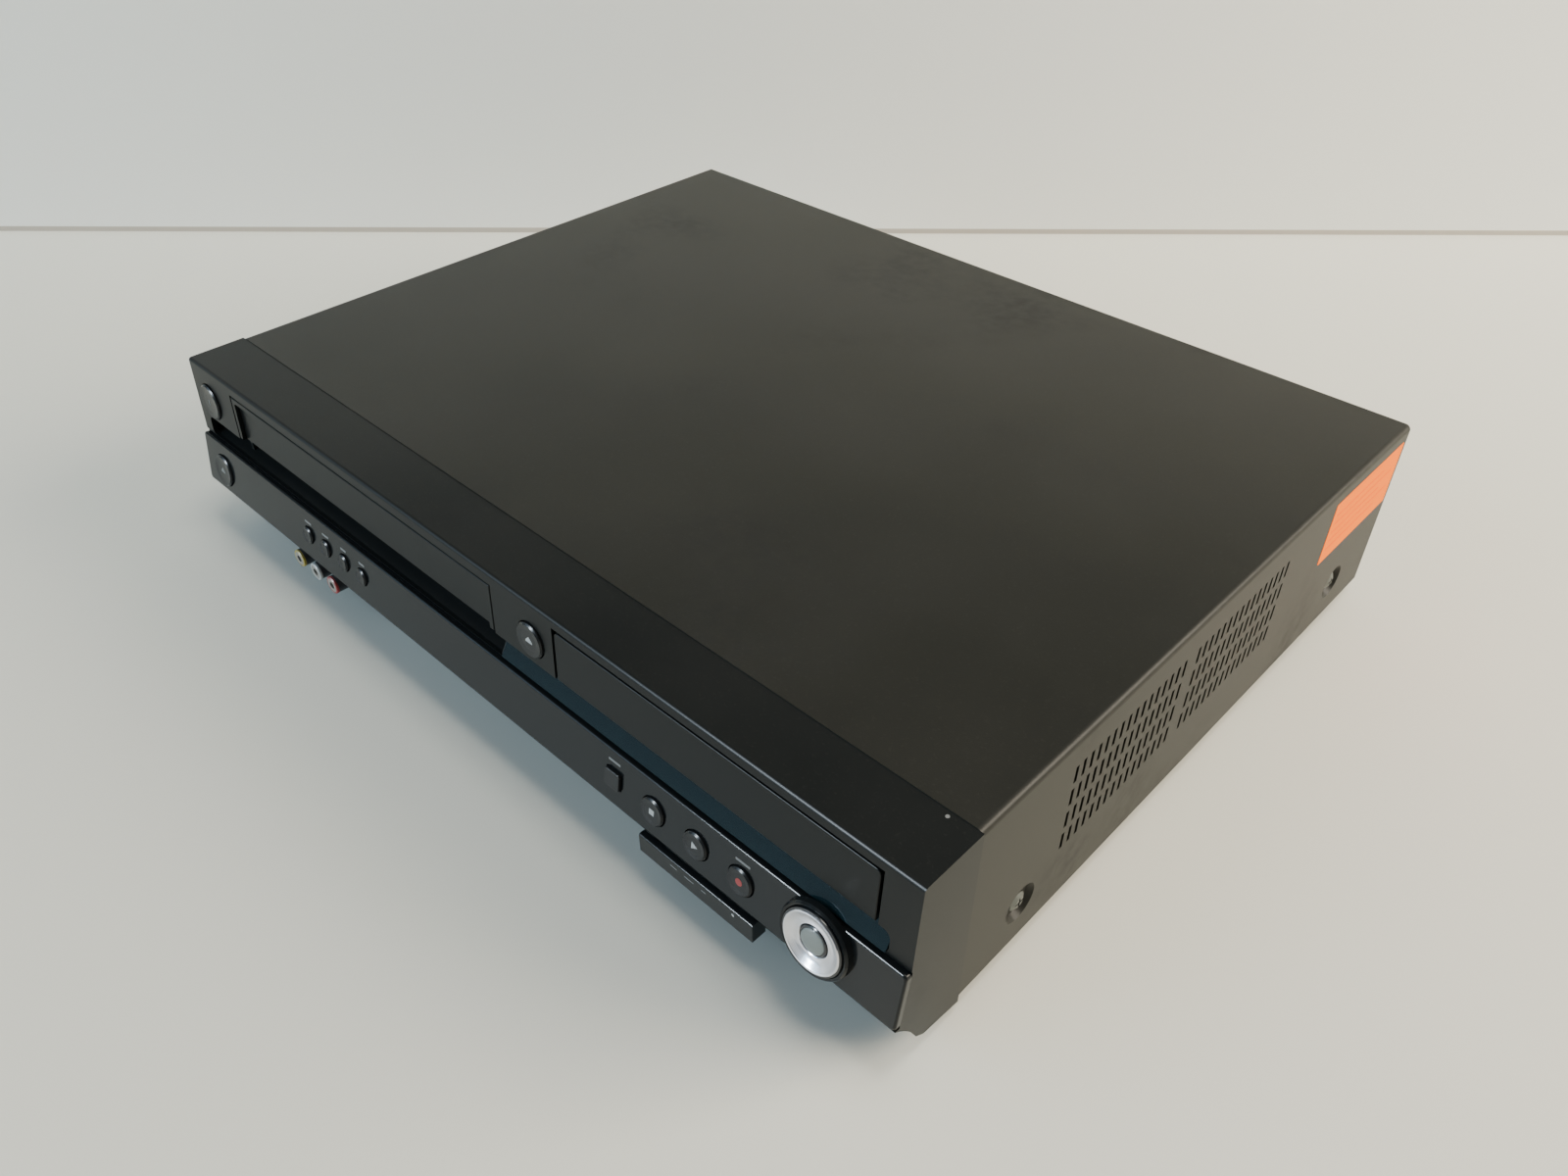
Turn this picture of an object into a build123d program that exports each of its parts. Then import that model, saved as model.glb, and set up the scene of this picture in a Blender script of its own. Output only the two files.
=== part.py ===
from build123d import *

import os
from math import asin, atan2, ceil, cos, degrees, hypot, pi, radians, sin, tan

# A disc player and a video cassette recorder in one low case, in millimetres.
# +X is to the right seen from the front, the front faces -Y, and z = 0 is the surface it stands on.
# Places along Y are measured from the seam between the steel cover and the front moulding, and
# a "drop" is measured straight down from the cover's top. save() moves every piece along Y, so that
# the origin lies in the middle of the whole player's length and depth.

# ---------------------------------------------------------------- case
WIDTH = 430.0             # across the front moulding
SIDE_STEP = 0.4           # the steel cover stands in from the moulding by this much on each side
COVER_HEIGHT = 82.0
COVER_DEPTH = 302.4
COVER_SHEET = 0.8
COVER_BEND = 2.5          # outer radius of the cover's two long bends
CHASSIS_SHEET = 1.0
FOOT_HEIGHT = 7.5
FOOT_RADIUS = 11.0
FOOT_PIN_RADIUS = 3.0
FOOT_X = 165.0
FOOT_FRONT_Y = 34.0
FOOT_REAR_Y = 262.0
BEAD_XS = (-204.0, 16.0, 204.0)
BEAD_WIDTH = 10.0
BEAD_LENGTH = 170.0
SIDE_FLANGE = 12.0        # heights of the chassis's flanges above its floor
FRONT_FLANGE = 10.0
REAR_FLANGE = 6.0
FLOOR_SLOT_XS = (-110.0, -55.0)
FLOOR_SLOT_ROWS = 8
FLOOR_SLOT_FIRST_Y = 70.0
FLOOR_SLOT_PITCH = 9.0
FLOOR_SLOT_LENGTH = 40.0
FLOOR_SLOT_WIDTH = 3.4
REAR_VENT_COUNT = 12
REAR_VENT_FIRST_X = 100.0
REAR_VENT_PITCH = 8.0
REAR_VENT_HEIGHT = 16.0
REAR_VENT_WIDTH = 2.6
REAR_VENT_Z = 58.0
FLAT_GAP = 0.3            # between neighbours that are no fit and don't touch
SINK = 0.5                # how far a boss reaches into the wall it grows from

# Cooling slots in both sides of the cover
VENT_WIDTH = 1.7
VENT_HEIGHT = 7.6
VENT_PITCH_Y = 4.5
VENT_PITCH_Z = 10.85
VENT_COLUMNS = 16
VENT_ROWS = 4
VENT_FIRST_DROP = 17.1    # middle of the top row
VENT_FIRST_Y = 52.0
VENT_GROUP_STEP = 77.3    # from the first group's first column to the second group's

# Screws in the cover's sides and rear
DIMPLE_RADIUS = 8.0
DIMPLE_DEPTH = 2.2
DIMPLE_DROP = 63.0
DIMPLE_FRONT_Y = 31.0
DIMPLE_REAR_Y = 265.3
SCREW_RADIUS = 2.0
SCREW_HEAD_RADIUS = 3.9
SCREW_HEAD_HEIGHT = 1.9
SCREW_LENGTH = 6.0
SCREW_PLAY = 0.3
REAR_SCREWS = ((-200.0, 18.0), (-84.0, 18.0), (92.0, 18.0), (200.0, 70.0), (-200.0, 70.0))  # X and Z
CROSS_WIDTH = 0.9
CROSS_DEPTH = 1.1

# ---------------------------------------------------------------- front moulding
MOULD_WALL = 2.4
LIP_DROP = 0.3            # the moulding's top lies this much below the cover's
LIP_RADIUS = 1.5
UPPER_REACH = 27.0        # from the seam to the upper face at its top edge
UPPER_TOP_DROP = 1.8
UPPER_TILT = 3.1          # degrees, leaning out towards the bottom
STEP_DROP = 36.4          # where the upper face ends above the lower fascia
FASCIA_DROP = 37.5
FASCIA_REACH = 31.0       # from the seam to the lower fascia at its top edge
FASCIA_TILT = 8.5
FASCIA_HEIGHT = 24.6      # along the slope
FASCIA_THICK = 2.6
FASCIA_SEAT = 0.3         # step above and below the fascia in which it sits
FASCIA_CORNER = 1.6
FASCIA_EDGE = 0.9
CHIN_INSET = 0.5          # the chin's upper edge lies this far behind the fascia's face
CHIN_MID_REACH = 27.5
CHIN_MID_DROP = 69.3
CHIN_FOOT_REACH = 22.4
CHIN_FOOT_DROP = 78.4
TOE_REACH = 18.2
TOE_DROP = 81.7
SEAM_FOOT_DROP = 84.5
BAND_TOP_DROP = 27.3      # dark groove between the upper face and the lower fascia
BAND_BOTTOM_DROP = 36.9
BAND_LEFT = -208.0
BAND_RIGHT = 206.0
BAND_CORNER = 3.0
RIB_WALL = 2.4
RIB_BACK_Y = -8.0
TONGUE_X = 150.0
TONGUE_WIDTH = 24.0
TONGUE_REACH = 9.0
TONGUE_THICK = 1.6
SILL_RAMP = 7.0           # length of the slope from the fascia's top up to the slot's floor
STUB_DEPTH = 12.0         # of the short wall left of the slot, ahead of the ribs' rear edge
PILLAR_PIN_RADIUS = 2.2   # pillars and posts that carry the key boards
POST_RADIUS = 1.6
POST_SPREAD = 6.5
POST_DROP = 6.0

# ---------------------------------------------------------------- cassette door
DOOR_LEFT = -178.0
DOOR_RIGHT = 15.0
DOOR_TOP_DROP = 6.0
DOOR_BOTTOM_DROP = 26.8
DOOR_THICK = 3.3
DOOR_FIELD_THICK = 1.4
DOOR_BORDER_SIDE = 2.5
DOOR_BORDER_TOP = 2.2
DOOR_GAP = 0.8
DOOR_PIVOT_DEPTH = 1.6    # behind the door's face
DOOR_PIVOT_INSET = 1.3    # below the door's top edge
DOOR_PIN_RADIUS = 1.1
DOOR_PIN_LENGTH = 2.6
PIN_PLAY = 0.07           # radial, wherever a pin turns in a hole
SILL_DROP = 35.2          # floor of the cassette slot
SILL_BACK_Y = -6.0
SILL_WALL = 1.8

# ---------------------------------------------------------------- display window
WINDOW_TOP_DROP = 28.4
WINDOW_TOP_REACH = 24.6
WINDOW_BOTTOM_DROP = 36.4
WINDOW_BOTTOM_REACH = 29.4
WINDOW_THICK = 1.4
WINDOW_LEFT = 18.8
WINDOW_RIGHT = 205.2
WINDOW_BACK_WALL = 1.8
TUBE_LEFT = 56.0
TUBE_RIGHT = 170.0
TUBE_HEIGHT = 6.0
TUBE_THICK = 4.0

# ---------------------------------------------------------------- keys
KEY_TRAVEL = 0.8
KEY_PLAY = 0.15           # between a key's flange and the wall that stops it
KEY_GAP = 0.45            # around a key
KEY_PROUD = 1.3
KEY_FLANGE = 1.1
KEY_FLANGE_THICK = 1.2
KEY_STEM_RADIUS = 1.8
KEY_EDGE = 0.6
KEY_HOLLOW = 0.35         # how far the middle of a key's face is dished
SWITCH_SIZE = 6.0
SWITCH_HEIGHT = 4.3
BOARD_THICK = 1.6
BOARD_DEPTH = 14.5        # from a face to the board behind it
SWITCH_PIN_RADIUS = 1.7
SWITCH_PLAY = 0.2         # between a key pushed home and its switch
SMALL_BOARD = 20.0
SMALL_BOARD_RISE = 2.2    # its middle lies this far above the key it serves
POWER_X = -201.0
POWER_DROP = 17.4
POWER_RADIUS = 8.4
DISC_KEY_X = 38.5
DISC_KEY_DROP = 17.0
DISC_KEY_RADIUS = 7.3
EJECT_X = -197.6
EJECT_DROP = 51.0
EJECT_RADIUS = 7.6
PRESET_XS = (-120.4, -106.1, -91.6, -77.3)
PRESET_DROP = 49.5
PRESET_RADIUS = 3.8
SQUARE_X = 85.7
SQUARE_DROP = 49.6
SQUARE_SIZE = 7.6
SQUARE_CORNER = 0.9
STOP_X = 106.4
PLAY_X = 127.6
RECORD_X = 148.6
TRANSPORT_DROP = 50.3
TRANSPORT_RADIUS = 5.6

# ---------------------------------------------------------------- dial
DIAL_X = 182.0
DIAL_DROP = 48.3
BEZEL_RADIUS = 14.2
BEZEL_HEIGHT = 2.9
BEZEL_FLOOR = 0.8
RING_RADIUS = 12.3
RING_GAP = 0.3
RING_BOTTOM = 1.5         # underside of the ring above the fascia
RING_TOP = 3.8
RING_HOLE = 5.9
RING_DISH = 1.5           # how far the ring's inner edge lies below its outer edge
DIAL_HOLE = 9.8           # through the fascia
DIAL_SKIRT = 3.4          # how far the bezel's skirt reaches behind the fascia's face
SKIRT_WALL = 1.0
RING_STEM_RADIUS = 8.3
RING_STEM_WALL = 1.5
RING_STEM_LENGTH = 6.0
RING_PIN_RADIUS = 0.8
RING_PIN_DEPTH = 1.6
CENTRE_RADIUS = 5.6
CENTRE_TOP = 3.3

# ---------------------------------------------------------------- sockets and flap in the chin
POCKET_FLOOR_Y = -24.4
POCKET_TOP_DROP = 64.7
POCKET_FOOT_DROP = 77.8
POCKET_WALL = 1.9
JACK_POCKET_LEFT = -166.0
JACK_POCKET_RIGHT = -100.0
JACK_XS = (-137.0, -122.8, -108.8)
JACK_DROP = 71.0
JACK_TIP_Y = -34.0
JACK_RADIUS = 4.15
JACK_BORE = 1.65
JACK_BORE_DEPTH = 8.0     # behind the plate
JACK_STEP = 0.2           # the barrel is thicker by this where it passes through its plate
JACK_PROUD = 0.6          # how far that thicker part stands out of the plate
DIN_X = -152.5
DIN_RADIUS = 4.6
JACK_BODY_DEPTH = 12.0
JACK_BODY_HEIGHT = 11.0
FLAP_LEFT = 100.7
FLAP_RIGHT = 156.5
FLAP_FACE_Y = -36.0
FLAP_TOP_DROP = 64.2
FLAP_FOOT_DROP = 73.0
FLAP_WALL = 1.7
FLAP_BACK_Y = -33.3       # rear edge of the flap's top
FLAP_PIVOT_Y = -32.0
FLAP_PIVOT_DROP = 71.2
FLAP_PIN_RADIUS = 1.0
FLAP_LUG_RADIUS = 2.0
FLAP_LUG_WIDTH = 2.4
FLAP_LUG_GAP = 0.4
FLAP_SOCKET_SPREAD = 11.0 # of the two sockets behind the flap, from its middle

# ---------------------------------------------------------------- disc drive
DRIVE_X = 126.25
FASCIA_SIDE = 73.75       # half the width of the tray's own fascia
TRAY_FACE_TOP = 5.5       # drops of the tray's own fascia
TRAY_FACE_FOOT = 27.0
TRAY_FACE_THICK = 2.8
TRAY_GAP = 1.2
TRAY_CORNER = 2.0
DISC_Y = 42.0
DISC_RADIUS = 60.75
SMALL_DISC_RADIUS = 40.75
TRAY_HALF = 66.0
TRAY_REAR_Y = 178.0
TRAY_TRAVEL = 130.0
TRAY_TOP = 71.4
TRAY_SLAB = 4.8
TRAY_RECESS = 3.0
SMALL_RECESS = 0.6
TRAY_SKIRT = 3.0
TRAY_SKIRT_WALL = 2.2
TRAY_FRONT_WALL = 2.0
SLOT_HALF = 18.0
RAIL_REACH = 2.8
RAIL_THICK = 2.0
RAIL_DROP = 2.6           # below the tray's top
RACK_MODULE = 1.0
TOOTH_TIP = 0.85          # of a tooth beyond and within the pitch line, in modules
TOOTH_ROOT = 1.05
RACK_X = -54.0            # pitch line, from the drive's middle
RACK_BODY = 2.6
RACK_DEPTH = 5.4
RACK_SPARE = 4            # teeth beyond the tray's travel
PINION_TEETH = 20
PINION_Y = 14.0
PINION_BORE = 1.5
BACKLASH = 0.5
WHEEL_RADIUS = 14.0
WHEEL_THICK = 4.0
GROOVE_DEPTH = 1.0        # of the belt's groove
MOTOR_OFFSET = 31.0       # from the pinion to the tray motor
MOTOR_RADIUS = 10.5
MOTOR_HEIGHT = 15.0
PULLEY_RADIUS = 4.0
BELT_THICK = 1.2
BELT_WIDTH = 2.0
FRAME_FLOOR = 50.0
FRAME_FLOOR_THICK = 2.0
FRAME_HALF = 73.5
FRAME_WALL = 2.2
FRAME_FRONT_Y = -6.0
FRAME_REAR_Y = 184.0
FRAME_TOP = 78.0
FRAME_OPEN_HALF = 46.0
FRAME_OPEN_FRONT_Y = 22.0
FRAME_OPEN_REAR_Y = 134.0
GUIDE_THICK = 1.5
GUIDE_BREAK = (66.0, 110.0)   # the tray's guides leave this stretch along Y free
LEG_RADIUS = 4.0
LEG_INSET = 7.0
BRIDGE_HALF_Y = 18.0
BRIDGE_SHEET = 1.2
CLAMPER_RADIUS = 15.5
CLAMPER_NECK = 11.4
CLAMPER_BOTTOM = 72.2
CLAMPER_FLANGE = 13.6
TRAVERSE_HALF = 43.0
TRAVERSE_FRONT_Y = 26.0
TRAVERSE_PIVOT_Y = 139.0
TRAVERSE_Z = 56.0         # mid-plane of the traverse plate and its pivots
TRAVERSE_THICK = 2.0
TRAVERSE_DROP_ANGLE = 4.5
PIVOT_RADIUS = 2.0
LUG_WALL = 3.0
LUG_GAP = 1.5             # between the traverse plate and the frame's lug
EAR_RADIUS = 4.5
SPINDLE_RADIUS = 1.0
SPINDLE_MOTOR_RADIUS = 13.0
SPINDLE_MOTOR_BOTTOM = 51.0
SPINDLE_MOTOR_TOP = 63.6
TURNTABLE_RADIUS = 15.0
TURNTABLE_BOTTOM = 67.0
DISC_LEVEL = 69.2
HUB_RADIUS = 7.4
HUB_TOP = 71.2
ROD_RADIUS = 1.5
ROD_X = 24.0
ROD_FRONT_Y = 50.0
ROD_SPARE = 2.0           # between the sled at its end and the block that holds the rods
ROD_Z = 60.6
ROD_BLOCK = 4.0
LENS_RADIUS_REST = 24.0   # of the lens from the disc's centre
SLED_TRAVEL = 34.0
SLED_FRONT = 9.0          # from the lens to the sled's front edge
SLED_REAR = 16.0
SLED_THICK = 5.4
LENS_RADIUS = 5.2
LENS_TOP = 66.9
LEAD_INSET = 10.0         # of the screw from the traverse plate's edge
LEAD_RADIUS = 1.8
LEAD_PITCH = 10.0
LEAD_JOURNAL = 1.2
SLED_MOTOR_RADIUS = 4.6
SLED_MOTOR_LENGTH = 16.0

# ---------------------------------------------------------------- cassette deck
DECK_X = -81.5
DECK_HALF = 101.0
DECK_FRONT_Y = 24.0
DECK_REAR_Y = 252.0
DECK_Z = 26.3             # top of the deck plate
DECK_SHEET = 1.8
DECK_RIM = 1.6            # wall of the rim folded down round the deck plate
DECK_RIM_HEIGHT = 5.0
CASSETTE_WIDTH = 188.0
CASSETTE_DEPTH = 104.0
CASSETTE_HEIGHT = 25.0
CASSETTE_PLAY = 0.6
HOLDER_FRONT_Y = -3.0
HOLDER_SHEET = 1.0
HOLDER_FLOOR = 55.6
LEDGE_WIDTH = 20.0
CARRIAGE_TRAVEL = 66.0
CARRIAGE_DROP = 18.5
HOLDER_PIN_RADIUS = 1.5
HOLDER_PIN_Z = 70.0
HOLDER_PIN_YS = (20.0, 80.0)
SLIDER_THICK = 1.2
SLIDER_FRONT_Y = 8.0
SLIDER_REAR_Y = 96.0
SLIDER_BOTTOM = 46.0
SLIDER_TOP = 76.0
SLIDE_GAP = 0.4
SIDE_FRAME_FRONT_Y = 26.0
SIDE_FRAME_SPARE = 10.0   # behind the sliders at the end of their travel
SIDE_FRAME_TOP = 85.0
REEL_X = 46.0
REEL_Y = 116.0
REEL_RADIUS = 13.0
REEL_HUB_RADIUS = 4.2
REEL_TOP = 45.0
REEL_FINS = 6
REEL_POST = 2.0
REEL_POST_HEIGHT = 12.0
DRUM_X = DECK_X + 2.0
DRUM_Y = 212.0
DRUM_RADIUS = 31.0
DRUM_TILT = 5.5
DRUM_BASE_Z = 29.0
LOWER_DRUM_HEIGHT = 15.0
UPPER_DRUM_HEIGHT = 14.0
DRUM_GAP = 0.4
GUIDE_ORBIT = 55.0        # radius on which the tape guides swing round the drum
GUIDE_START = 27.0        # degrees each side of straight ahead
GUIDE_SWING = 68.0
GUIDE_SLOT = 8.0
GUIDE_PIVOT = 7.0         # boss under the drum on which both guides' arms turn
GUIDE_PIVOT_DEPTH = 6.5
GUIDE_ARM = 6.0
CAPSTAN_X = DECK_X + 54.0
CAPSTAN_Y = 172.0
CAPSTAN_RADIUS = 1.5
CAPSTAN_TOP = 58.0
CAPSTAN_BOSS = 2.4        # height of its bearing above the deck
CAPSTAN_BOSS_WALL = 3.5
FLYWHEEL_RADIUS = 22.0
FLYWHEEL_BOTTOM = 13.5
FLYWHEEL_THICK = 5.0
PINCH_X = DECK_X + 84.0
PINCH_Y = 186.0
PINCH_RADIUS = 6.5
PINCH_ARM = 33.3
PINCH_CONTACT = 219.5     # bearing of the roller from its pivot against the capstan, in degrees
PINCH_SWING = 14.5
PINCH_LIFT = 3.0          # of the arm above the deck
PINCH_POST = 2.5
PINCH_POST_HEIGHT = 10.0
PINCH_SHEET = 3.0
PINCH_AXLE = 1.4
PINCH_LENGTH = 16.0       # of the roller

# ---------------------------------------------------------------- boards and rear
BOARD_Z = 14.0
MAIN_LEFT = 26.0
MAIN_RIGHT = 207.0
MAIN_FRONT_Y = 8.0
MAIN_REAR_Y = 190.0
STRIP_LEFT = -192.0
STRIP_RIGHT = 92.0
STRIP_FRONT_Y = 257.0
STRIP_REAR_Y = 299.0
POWER_LEFT = 98.0
POWER_FRONT_Y = 197.0
PILLAR_RADIUS = 3.0
CAPACITOR_ON_STRIP_X = -84.0
REAR_SHEET = 1.0
REAR_INSET = 1.0          # the rear panel lies this far inside the cover's rear edge
AERIAL_XS = (-148.0, -122.0)
AERIAL_Z = 30.0
AERIAL_RADIUS = 4.75
AERIAL_REACH = 8.5
AERIAL_COLLAR = 1.3       # how much thicker the socket is where it passes through the panel
TUNER_LEFT = -164.0
TUNER_RIGHT = -100.0
TUNER_HEIGHT = 24.0
TUNER_DEPTH = 42.0
SCART_XS = (-52.0, 8.0)
SCART_WIDTH = 46.5
SCART_HEIGHT = 14.6
SCART_Z = 27.0
PHONO_XS = (50.0, 66.0, 82.0)
PHONO_ZS = (24.0, 40.0)
PHONO_COLLAR = 5.6
PHONO_REACH = 8.2
INLET_X = 182.0
INLET_Z = 27.0
INLET_WIDTH = 16.6
INLET_HEIGHT = 9.4
INLET_DEPTH = 12.0
INLET_WALL = 2.0
INLET_PIN_RADIUS = 1.2
INLET_PIN_PITCH = 8.6
RIBBON_THICK = 0.6
RIBBON_BEND = 3.0

# ---------------------------------------------------------------- what follows from the sizes above
TOP = FOOT_HEIGHT + COVER_HEIGHT
HALF = WIDTH / 2
COVER_HALF = HALF - SIDE_STEP
INNER_HALF = COVER_HALF - COVER_SHEET
FLANGE_X = INNER_HALF - DIMPLE_DEPTH
FLOOR_TOP = FOOT_HEIGHT + CHASSIS_SHEET
REAR_FACE_Y = COVER_DEPTH - REAR_INSET
REAR_INNER_Y = REAR_FACE_Y - REAR_SHEET
TILT_UPPER = radians(UPPER_TILT)
TILT_FASCIA = radians(FASCIA_TILT)
UPPER_PLANE = Plane(
    origin=(0, -UPPER_REACH, TOP - UPPER_TOP_DROP), x_dir=(1, 0, 0),
    z_dir=(0, -cos(TILT_UPPER), sin(TILT_UPPER)))
FASCIA_PLANE = Plane(
    origin=(0, -FASCIA_REACH, TOP - FASCIA_DROP), x_dir=(1, 0, 0),
    z_dir=(0, -cos(TILT_FASCIA), sin(TILT_FASCIA)))
FRONT_REACH = (FASCIA_REACH + (DIAL_DROP - FASCIA_DROP) * tan(TILT_FASCIA)
               + RING_TOP * cos(TILT_FASCIA) + RING_RADIUS * sin(TILT_FASCIA))
REAR_REACH = REAR_FACE_Y + AERIAL_REACH
SHIFT_Y = (FRONT_REACH - REAR_REACH) / 2
HOLDER_HALF = CASSETTE_WIDTH / 2 + CASSETTE_PLAY + HOLDER_SHEET
HOLDER_HEIGHT = CASSETTE_HEIGHT + 2 * CASSETTE_PLAY + 2 * HOLDER_SHEET
HOLDER_REAR_Y = HOLDER_FRONT_Y + CASSETTE_DEPTH
SLIDER_X = HOLDER_HALF + FLAT_GAP + 1.0
SIDE_FRAME_X = SLIDER_X + SLIDER_THICK + 1.0
BOARD_TOP = BOARD_Z + BOARD_THICK
LEAD_X = TRAVERSE_HALF - LEAD_INSET
ROD_REAR_Y = DISC_Y + LENS_RADIUS_REST + SLED_TRAVEL + SLED_REAR + ROD_SPARE + ROD_BLOCK
RACK_TEETH = ceil(TRAY_TRAVEL / (pi * RACK_MODULE)) + RACK_SPARE
SIDE_FRAME_REAR_Y = SLIDER_REAR_Y + CARRIAGE_TRAVEL + SIDE_FRAME_SPARE
PINCH_REST = PINCH_CONTACT + PINCH_SWING
KEY_TIP = -(BOARD_DEPTH - SWITCH_HEIGHT) + KEY_TRAVEL + SWITCH_PLAY
JACK_PLATE_Y = POCKET_FLOOR_Y + POCKET_WALL
JACK_Z = TOP - JACK_DROP


# ---------------------------------------------------------------- small helpers
def save(name, *solids):
    """Write one sub-part, moved so that the origin lies in the player's middle."""
    moved = [Pos(0, SHIFT_Y, 0) * solid for shape in solids for solid in shape.solids()]
    whole = moved[0] if len(moved) == 1 else Compound(children=moved)
    whole.label = name
    export_step(whole, f"parts/{name}.step")


def block(x, y, z):
    """A box between two X, two Y and two Z values."""
    centre = Pos((x[0] + x[1]) / 2, (y[0] + y[1]) / 2, (z[0] + z[1]) / 2)
    return centre * Box(abs(x[1] - x[0]), abs(y[1] - y[0]), abs(z[1] - z[0]))


def patch(x, y, corner=0.0):
    """A flat rectangle between two X and two Y values, with rounded corners if asked."""
    centre = Pos((x[0] + x[1]) / 2, (y[0] + y[1]) / 2)
    if corner:
        return centre * RectangleRounded(x[1] - x[0], y[1] - y[0], corner)
    return centre * Rectangle(x[1] - x[0], y[1] - y[0])


def outline(points):
    """A flat face inside a closed run of straight lines."""
    return make_face(Polyline(*points, close=True))


def along_x(face, x):
    """A side-view face, drawn as (y, z), carried from one X to another."""
    return extrude(Plane.YZ.offset(x[0]) * face, x[1] - x[0])


def along_y(face, y):
    """A front-view face, drawn as (x, z), carried from one Y to another."""
    return extrude(Plane.XZ.offset(-y[1]) * face, y[1] - y[0])


def along_z(face, z):
    """A top-view face, drawn as (x, y), carried from one height to another."""
    return extrude(Plane.XY.offset(z[0]) * face, z[1] - z[0])


def turned(points, place):
    """A solid turned from (radius, height) points about the axis of a place."""
    return place * revolve(Plane.XZ * outline(points), Axis.Z)


def upright(x, y, z=0.0):
    """A place whose axis points up."""
    return Pos(x, y, z)


def forward(x, y, z):
    """A place whose axis points out of the front, towards -Y."""
    return Pos(x, y, z) * Rot(90, 0, 0)


def backward(x, y, z):
    """A place whose axis points out of the rear, towards +Y."""
    return Pos(x, y, z) * Rot(-90, 0, 0)


def rod(radius, place, low, high):
    """A round rod between two heights on a place's axis."""
    return place * Pos(0, 0, (low + high) / 2) * Cylinder(radius, high - low)


def rod_x(radius, x, y, z):
    """A round rod along X."""
    return Pos((x[0] + x[1]) / 2, y, z) * Rot(0, 90, 0) * Cylinder(radius, x[1] - x[0])


def rod_y(radius, x, y, z):
    """A round rod along Y."""
    return Pos(x, (y[0] + y[1]) / 2, z) * Rot(90, 0, 0) * Cylinder(radius, y[1] - y[0])


def on_upper(x, drop):
    """The place on the upper front face at an X and a drop, its axis out of the face."""
    return UPPER_PLANE.location * Pos(x, -(drop - UPPER_TOP_DROP) / cos(TILT_UPPER), 0)


def on_fascia(x, drop):
    """The place on the lower fascia at an X and a drop, its axis out of the face."""
    return FASCIA_PLANE.location * Pos(x, -(drop - FASCIA_DROP) / cos(TILT_FASCIA), 0)


def upper_y(drop, depth=0.0):
    """Where the upper face, or a surface behind it, lies along Y."""
    return -UPPER_REACH - (drop - UPPER_TOP_DROP) * tan(TILT_UPPER) + depth / cos(TILT_UPPER)


def fascia_y(drop, depth=0.0):
    """Where the lower fascia, or a surface behind it, lies along Y."""
    return -FASCIA_REACH - (drop - FASCIA_DROP) * tan(TILT_FASCIA) + depth / cos(TILT_FASCIA)


def fascia_point(along, depth):
    """The (y, drop) of a point so far down the fascia's slope and so far behind its face."""
    return (-FASCIA_REACH - along * sin(TILT_FASCIA) + depth * cos(TILT_FASCIA),
            FASCIA_DROP + along * cos(TILT_FASCIA) + depth * sin(TILT_FASCIA))


def side_points(pairs):
    """Side-view (y, drop) pairs turned into (y, z)."""
    return [(y, TOP - drop) for y, drop in pairs]


# ---------------------------------------------------------------- case
def arch(half, bottom, top, radius):
    """The cover's front view: a block with its two upper corners rounded."""
    body = patch((-half, half), (bottom, top))
    return fillet(body.vertices().sort_by(Axis.Y)[-2:], radius)


def vent_slots():
    """Both groups of cooling slots, carried right through the cover from side to side."""
    slots = [
        Pos(VENT_FIRST_Y + group * VENT_GROUP_STEP + column * VENT_PITCH_Y,
            TOP - VENT_FIRST_DROP - row * VENT_PITCH_Z) * Rectangle(VENT_WIDTH, VENT_HEIGHT)
        for group in range(2) for row in range(VENT_ROWS) for column in range(VENT_COLUMNS)]
    return along_x(Sketch() + slots, (-HALF, HALF))


def dimple(y):
    """A pressed hollow for a side screw, on the right side, about its own axis."""
    slope = DIMPLE_DEPTH * 0.8
    bend = 0.5
    inner = SCREW_RADIUS + SCREW_PLAY
    floor_radius = DIMPLE_RADIUS - slope
    cup = [
        (0, DIMPLE_RADIUS), (DIMPLE_DEPTH, floor_radius), (DIMPLE_DEPTH, inner),
        (DIMPLE_DEPTH + COVER_SHEET, inner), (DIMPLE_DEPTH + COVER_SHEET, floor_radius + bend),
        (COVER_SHEET, DIMPLE_RADIUS)]
    face = outline([(-depth, radius) for depth, radius in cup])
    return Pos(COVER_HALF, y, TOP - DIMPLE_DROP) * revolve(Plane.XZ * face, Axis.X)


def make_top_cover():
    """The folded steel cover: top and both sides, with slots and pressed hollows."""
    outer = arch(COVER_HALF, FOOT_HEIGHT, TOP, COVER_BEND)
    inner = arch(INNER_HALF, FOOT_HEIGHT - COVER_SHEET, TOP - COVER_SHEET, COVER_BEND - COVER_SHEET)
    cover = along_y(outer - inner, (0, COVER_DEPTH)) - vent_slots()
    for y in (DIMPLE_FRONT_Y, DIMPLE_REAR_Y):
        cover -= rod_x(DIMPLE_RADIUS, (-HALF, HALF), y, TOP - DIMPLE_DROP)
        cup = dimple(y)
        cover += [cup, mirror(cup, Plane.YZ)]
    return cover


def bead(x, y, width, length):
    """A stiffening bead pressed up out of the chassis floor."""
    plan = Pos(x, y) * SlotOverall(length, width, rotation=90)
    return extrude(Plane.XY.offset(FLOOR_TOP) * plan, CHASSIS_SHEET, taper=30)


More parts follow.
